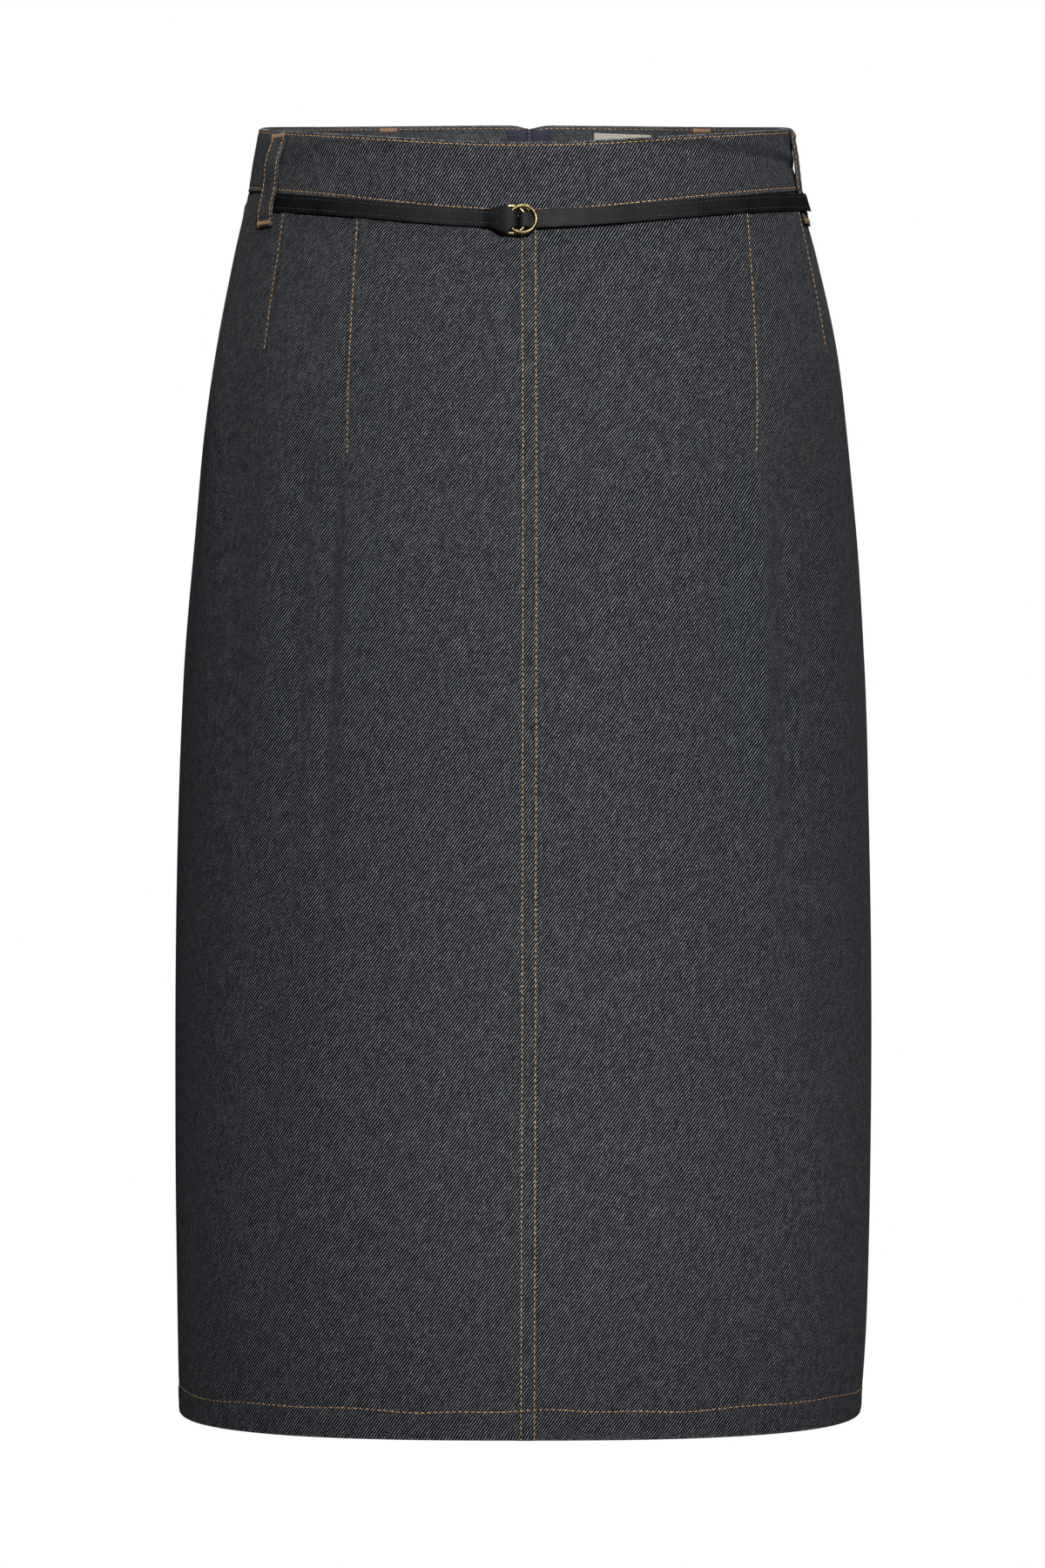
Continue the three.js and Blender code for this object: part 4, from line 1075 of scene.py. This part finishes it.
def laid_row(surface, turn, z, from_inside=False, sink=0.0):
    """A row of points and normals where level rays meet the surface."""
    turn, z = np.broadcast_arrays(np.asarray(turn, float), np.asarray(z, float))
    start = cloth_point(turn, z, RAY_FROM_INSIDE if from_inside else RAY_FROM_OUTSIDE)
    nx, ny = level_normal(turn, z)
    way = 1 if from_inside else -1
    row = []
    for point, x, y in zip(start, nx, ny):
        aim = Vector((x * way, y * way, 0))
        place, normal, _, _ = surface.ray_cast(Vector(point), aim, RAY_REACH)
        if place is not None:
            row.append((place + normal * (-sink * MM), normal))
    return row


def row_object(name, rows):
    points, edges, normals = [], [], []
    for row in rows:
        if len(row) < 2:
            continue
        start = len(points)
        points += [tuple(place) for place, _ in row]
        normals += [tuple(normal) for _, normal in row]
        edges += [(start + i, start + i + 1) for i in range(len(row) - 1)]
    mesh = bpy.data.meshes.new(name)
    mesh.from_pydata(points, edges, [])
    mesh.attributes.new("off cloth", "FLOAT_VECTOR", "POINT").data.foreach_set("vector", np.ravel(normals))
    return put(name, mesh)


def stitched(
    name, rows, thread_material, spacing=3.0, length=2.3, width=0.52, seed=1, cross=0.0, uneven=0.06
):
    """Sizes in millimetres. Returns one piece of stitches for all the rows."""
    values = {"Spacing": spacing * MM, "Stitch length": length * MM, "Thread width": width * MM,
              "Crosswise turn": cross, "Unevenness": uneven, "Seed": seed, "Thread": thread_material}
    piece = grown(row_object(name, rows), stitches_along, values)
    print(name, len(piece.data.polygons), "faces")
    return piece


def turns_between(start, end, radius=150.0):
    """Turns about two millimetres apart."""
    count = max(2, int(abs(end - start) * math.radians(1) * radius / ROW_GRAIN))
    return np.linspace(start, end, count)


def heights_between(start, end):
    return np.linspace(start, end, max(2, int(abs(end - start) / ROW_GRAIN)))


panel_surface = surface_of(*panels.values())
band_surface = surface_of(*bands.values())

# %% Rows on the waistband
ROW_FROM_CLOSURE = 1.6
ROW_FROM_SEAM = 0.4
BAND_SPANS = (
    (SIDE_SEAM_LEFT, SIDE_SEAM_RIGHT),
    (SIDE_SEAM_RIGHT, CLOSURE_TURN - ROW_FROM_CLOSURE),
    (CLOSURE_TURN - 360 + ROW_FROM_CLOSURE, SIDE_SEAM_LEFT),
)
band_rows, inside_rows = [], []
for start, end in BAND_SPANS:
    turns = turns_between(start + ROW_FROM_SEAM, end - ROW_FROM_SEAM)
    for height in (top_edge(turns) - BAND_STITCH_INSET, band_seam(turns) + BAND_STITCH_INSET):
        band_rows.append(laid_row(band_surface, turns, height))
        inside_rows.append(laid_row(band_surface, turns, height, from_inside=True))
waist_stitches = stitched("waistband_topstitching", band_rows, top_thread, seed=3)
waist_inside_stitches = stitched("waistband_stitching_inside", inside_rows, tack_thread, seed=4)

# %% Rows on the panels
FRONT_ROW_SINK = 0.05


def front_row(inset):
    heights = heights_between(float(band_seam(0)) - 0.5, HEM_Z + 0.8)
    turns = front_seam(heights) - np.degrees(inset / section("front", heights))
    return laid_row(panel_surface, turns, heights, sink=FRONT_ROW_SINK)


def dart_row(dart):
    heights = heights_between(min(dart[1], float(band_seam(dart[0]))) - 0.5, dart[3] + 1)
    inset = np.degrees(DART_STITCH_INSET / (section("left", heights) * FOLD_REACH))
    return laid_row(panel_surface, dart_turn(dart, heights) - dart_side(dart) * inset, heights)


hem_turns = turns_between(-180, 180, 165.0)
hem_wave = 0.7 * np.sin(np.radians(hem_turns) * 7.3 + 0.8) + 0.4 * np.sin(np.radians(hem_turns) * 17.7)
hem_row = laid_row(panel_surface, hem_turns, HEM_Z + HEM_HEIGHT + hem_wave)
front_stitches = stitched("centre_front_stitching", [front_row(i) for i in FRONT_ROWS], top_thread, seed=5)
dart_stitches = stitched("dart_stitching", [dart_row(d) for d in DARTS], top_thread, seed=6)
hem_stitches = stitched("hem_stitching", [hem_row], top_thread, spacing=3.2, length=2.6, seed=7)

# %% Rows and bar tacks on the loops
CROSSWISE = math.pi / 2
TACK_SEWING = {"spacing": 0.5, "length": 2.6, "width": 0.5, "cross": CROSSWISE, "uneven": 0.18}
TACK_REACH = 6.0
TACK_SHARES = (0.035, 0.955)
TACK_POINTS = 8
LOOP_ROW_POINTS = 26


def strip_row(loop, shares, across, lift):
    """A row on a loop's outer face."""
    grid = loop_grid(loop, shares, across, LOOP_WALL + lift)
    off = grid - loop_grid(loop, shares, across, LOOP_WALL + lift - 1)
    return [(Vector(p), Vector(n).normalized()) for p, n in zip(grid, off)]


loop_rows, tack_rows = [], []
for loop in LOOPS.values():
    shares = np.linspace(0.02, 0.98, LOOP_ROW_POINTS)
    for side in (-LOOP_ROW, LOOP_ROW):
        loop_rows.append(strip_row(loop, shares, np.full(LOOP_ROW_POINTS, side), -0.12))
    across = np.linspace(-TACK_REACH, TACK_REACH, TACK_POINTS)
    for share in TACK_SHARES:
        tack_rows.append(strip_row(loop, np.full(TACK_POINTS, share), across, 0.05))
loop_stitches = stitched("belt_loop_stitching", loop_rows, top_thread, spacing=2.7, length=2.2, seed=8)
bar_tacks = stitched("bar_tacks", tack_rows, tack_thread, seed=9, **TACK_SEWING)

# %% Bar tacks inside the back and the row beside the zip
ZIP_FOOT_Z = -165
INSIDE_TACK_DROP = 2.4
INSIDE_TACK_TURN = 2.3
TAPE_ROW = 11.2
inner_tacks = []
for node in ("loop_back_left", "loop_back_right"):
    turn = LOOPS[node][0]
    turns = np.linspace(turn - INSIDE_TACK_TURN, turn + INSIDE_TACK_TURN, TACK_POINTS)
    inner_tacks.append(laid_row(band_surface, turns, top_edge(turns) - INSIDE_TACK_DROP, from_inside=True))
inside_tacks = stitched("bar_tacks_inside", inner_tacks, tack_thread, seed=10, **TACK_SEWING)

tapes = (softened_parts["zip_tape_left"], softened_parts["zip_tape_right"])
inner_surface = surface_of(*panels.values(), *bands.values(), *tapes)
heights = heights_between(float(top_edge(180)) - 2.5, ZIP_FOOT_Z + 2)
zip_rows = []
for x in (CLOSURE_X - TAPE_ROW, CLOSURE_X + TAPE_ROW):
    turns = 180 - np.degrees(np.arctan2(x, ring_point(180, heights)[1]))
    zip_rows.append(laid_row(inner_surface, turns, heights, from_inside=True))
zip_stitches = stitched("zip_tape_stitching", zip_rows, navy_tape, seed=11)

# %% The zip's coil
# A nylon zip's teeth are one coiled thread, so the same tree lays them crosswise, edge to edge.
COIL_DEPTH = -3.1
coil_heights = heights_between(float(top_edge(CLOSURE_TURN)) - 1.2, ZIP_FOOT_Z + 3)
coil_points = cloth_point(CLOSURE_TURN, coil_heights, COIL_DEPTH, folds=False)
coil_row = [(Vector(p), Vector((0, -1, 0))) for p in coil_points]
zip_coil = stitched("zip_coil", [coil_row], navy_tape, 1.1, 4.2, 1.25, 13, CROSSWISE, 0.0)

# %% Rows on the belt
STRAP_BELOW_SEAM_FRONT = 3.0
STRAP_BELOW_SEAM_SIDE = 6.6
BELT_ROW = 2.75
BELT_SPANS = ((-63.5, -6.8), (2.6, 86.5))
BELT_RADIUS = 130.0
strap_surface = surface_of(softened_parts["belt_strap_left"], softened_parts["belt_strap_right"])


def belt_z(turn):
    side = 1 - np.cos(np.radians(turn))
    return band_seam(turn) - mix(STRAP_BELOW_SEAM_FRONT, STRAP_BELOW_SEAM_SIDE, side)


belt_rows = []
for start, end in BELT_SPANS:
    for side in (-BELT_ROW, BELT_ROW):
        turns = turns_between(start, end, BELT_RADIUS)
        belt_rows.append(laid_row(strap_surface, turns, belt_z(turns) + side))
belt_stitches = stitched("belt_stitching", belt_rows, belt_thread, 2.9, 2.1, 0.45, 12)

# %% [markdown]
# ## Put the finishes on and attach each piece to its body
# Each piece stands for its solid and rides with the skirt or with the zip's pull.

# %% Materials and bodies
def dress(piece, material, node=None, body=SKIRT):
    if material is not None:
        piece.data.materials.clear()
        piece.data.materials.append(material)
    if node:
        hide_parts(node)
    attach(piece, body)


for node, piece in panels.items():
    dress(piece, panel_denim, node)
for node, piece in {**bands, **loops}.items():
    dress(piece, band_denim, node)
for node, piece in rings.items():
    dress(piece, aged_brass, node)
PART_LOOKS = {
    "belt_strap_left": (belt_leather, "leather", SKIRT),
    "belt_strap_right": (belt_leather, "leather", SKIRT),
    "zip_slider": (aged_brass, "slider", SKIRT),
    "zip_pull_tab": (aged_brass, "brass", PULL),
    "zip_tape_left": (navy_tape, "tape", SKIRT),
    "zip_tape_right": (navy_tape, "tape", SKIRT),
    "label": (label_cloth, "label", SKIRT),
}
for node, (material, slot_name, body) in PART_LOOKS.items():
    dress(softened_parts[node], material, node, body)
sewing = (waist_stitches, waist_inside_stitches, front_stitches, dart_stitches, hem_stitches, loop_stitches,
          bar_tacks, inside_tacks, zip_stitches)
for piece in sewing:
    dress(piece, None)
dress(belt_stitches, None)
dress(zip_coil, None)

# %% [markdown]
# ## Studio
# The light is plain and soft: a tall panel behind a honeycomb grid, a little to the right of the
# camera, so that the cloth darkens as it turns away at the sides, and a second one behind for the
# back. A soft ceiling lights the floor and the edges, and a faint bluish room fills the shadows. The
# room is white where the camera sees it, and the floor is a plain pale disc well below the hem.

# %% Floor and light
FLOOR_Z = -1.1
FLOOR_RADIUS = 0.98
FLOOR_SIDES = 96
STRIP_SIZE = (0.33, 1.2)
GRID_SPREAD = 8.5
FRONT_POWER = 1.85
CEILING_POWER = 60
ROOM_LIGHT = 0.06
ROOM_TINT = (0.5, 0.66, 1, 1)


def pale_floor():
    turns = np.linspace(0, 2 * np.pi, FLOOR_SIDES, endpoint=False)
    points = [(FLOOR_RADIUS * math.cos(a), FLOOR_RADIUS * math.sin(a), FLOOR_Z) for a in turns]
    mesh = bpy.data.meshes.new("floor")
    mesh.from_pydata(points, [], [tuple(range(FLOOR_SIDES))])
    floor = put("floor", mesh)
    mesh.materials.append(Finish("pale floor", Roughness=1.0, Base_Color=(0.78, 0.78, 0.77, 1)).material)


def panel_light(name, place, target, power, size, spread=180):
    """A flat panel of light. A honeycomb grid narrows its spread, in degrees."""
    data = bpy.data.lights.new(name, "AREA")
    data.shape = "RECTANGLE"
    data.size, data.size_y = size
    data.spread = math.radians(spread)
    data.energy = power
    light = bpy.data.objects.new(name, data)
    light.location = place
    light.rotation_euler = (Vector(target) - Vector(place)).to_track_quat("-Z", "Y").to_euler()
    bpy.context.scene.collection.objects.link(light)


pale_floor()
panel_light("front light", (0.42, -2.9, 0.75), (0.006, 0, -0.13), FRONT_POWER, STRIP_SIZE, GRID_SPREAD)
panel_light("back light", (-0.42, 2.9, 0.75), (-0.012, 0, -0.18), FRONT_POWER, STRIP_SIZE, GRID_SPREAD)
panel_light("ceiling light", (0, 0, 2.3), (0, 0, 0), CEILING_POWER, (1.8, 1.8))
world = bpy.data.worlds.new("white room")
world.use_nodes = True
room = world.node_tree
background = room.nodes["Background"]
background.inputs["Color"].default_value = ROOM_TINT
background.inputs["Strength"].default_value = ROOM_LIGHT
seen_white = room.nodes.new("ShaderNodeBackground")
seen = room.nodes.new("ShaderNodeLightPath").outputs["Is Camera Ray"]
chosen = room.nodes.new("ShaderNodeMixShader")
room.links.new(seen, chosen.inputs["Fac"])
room.links.new(background.outputs["Background"], chosen.inputs[1])
room.links.new(seen_white.outputs["Background"], chosen.inputs[2])
room.links.new(chosen.outputs["Shader"], room.nodes["World Output"].inputs["Surface"])
seen_white.inputs["Color"].default_value = (1, 1, 1, 1)
bpy.context.scene.world = world
bpy.context.scene.view_settings.view_transform = "Standard"
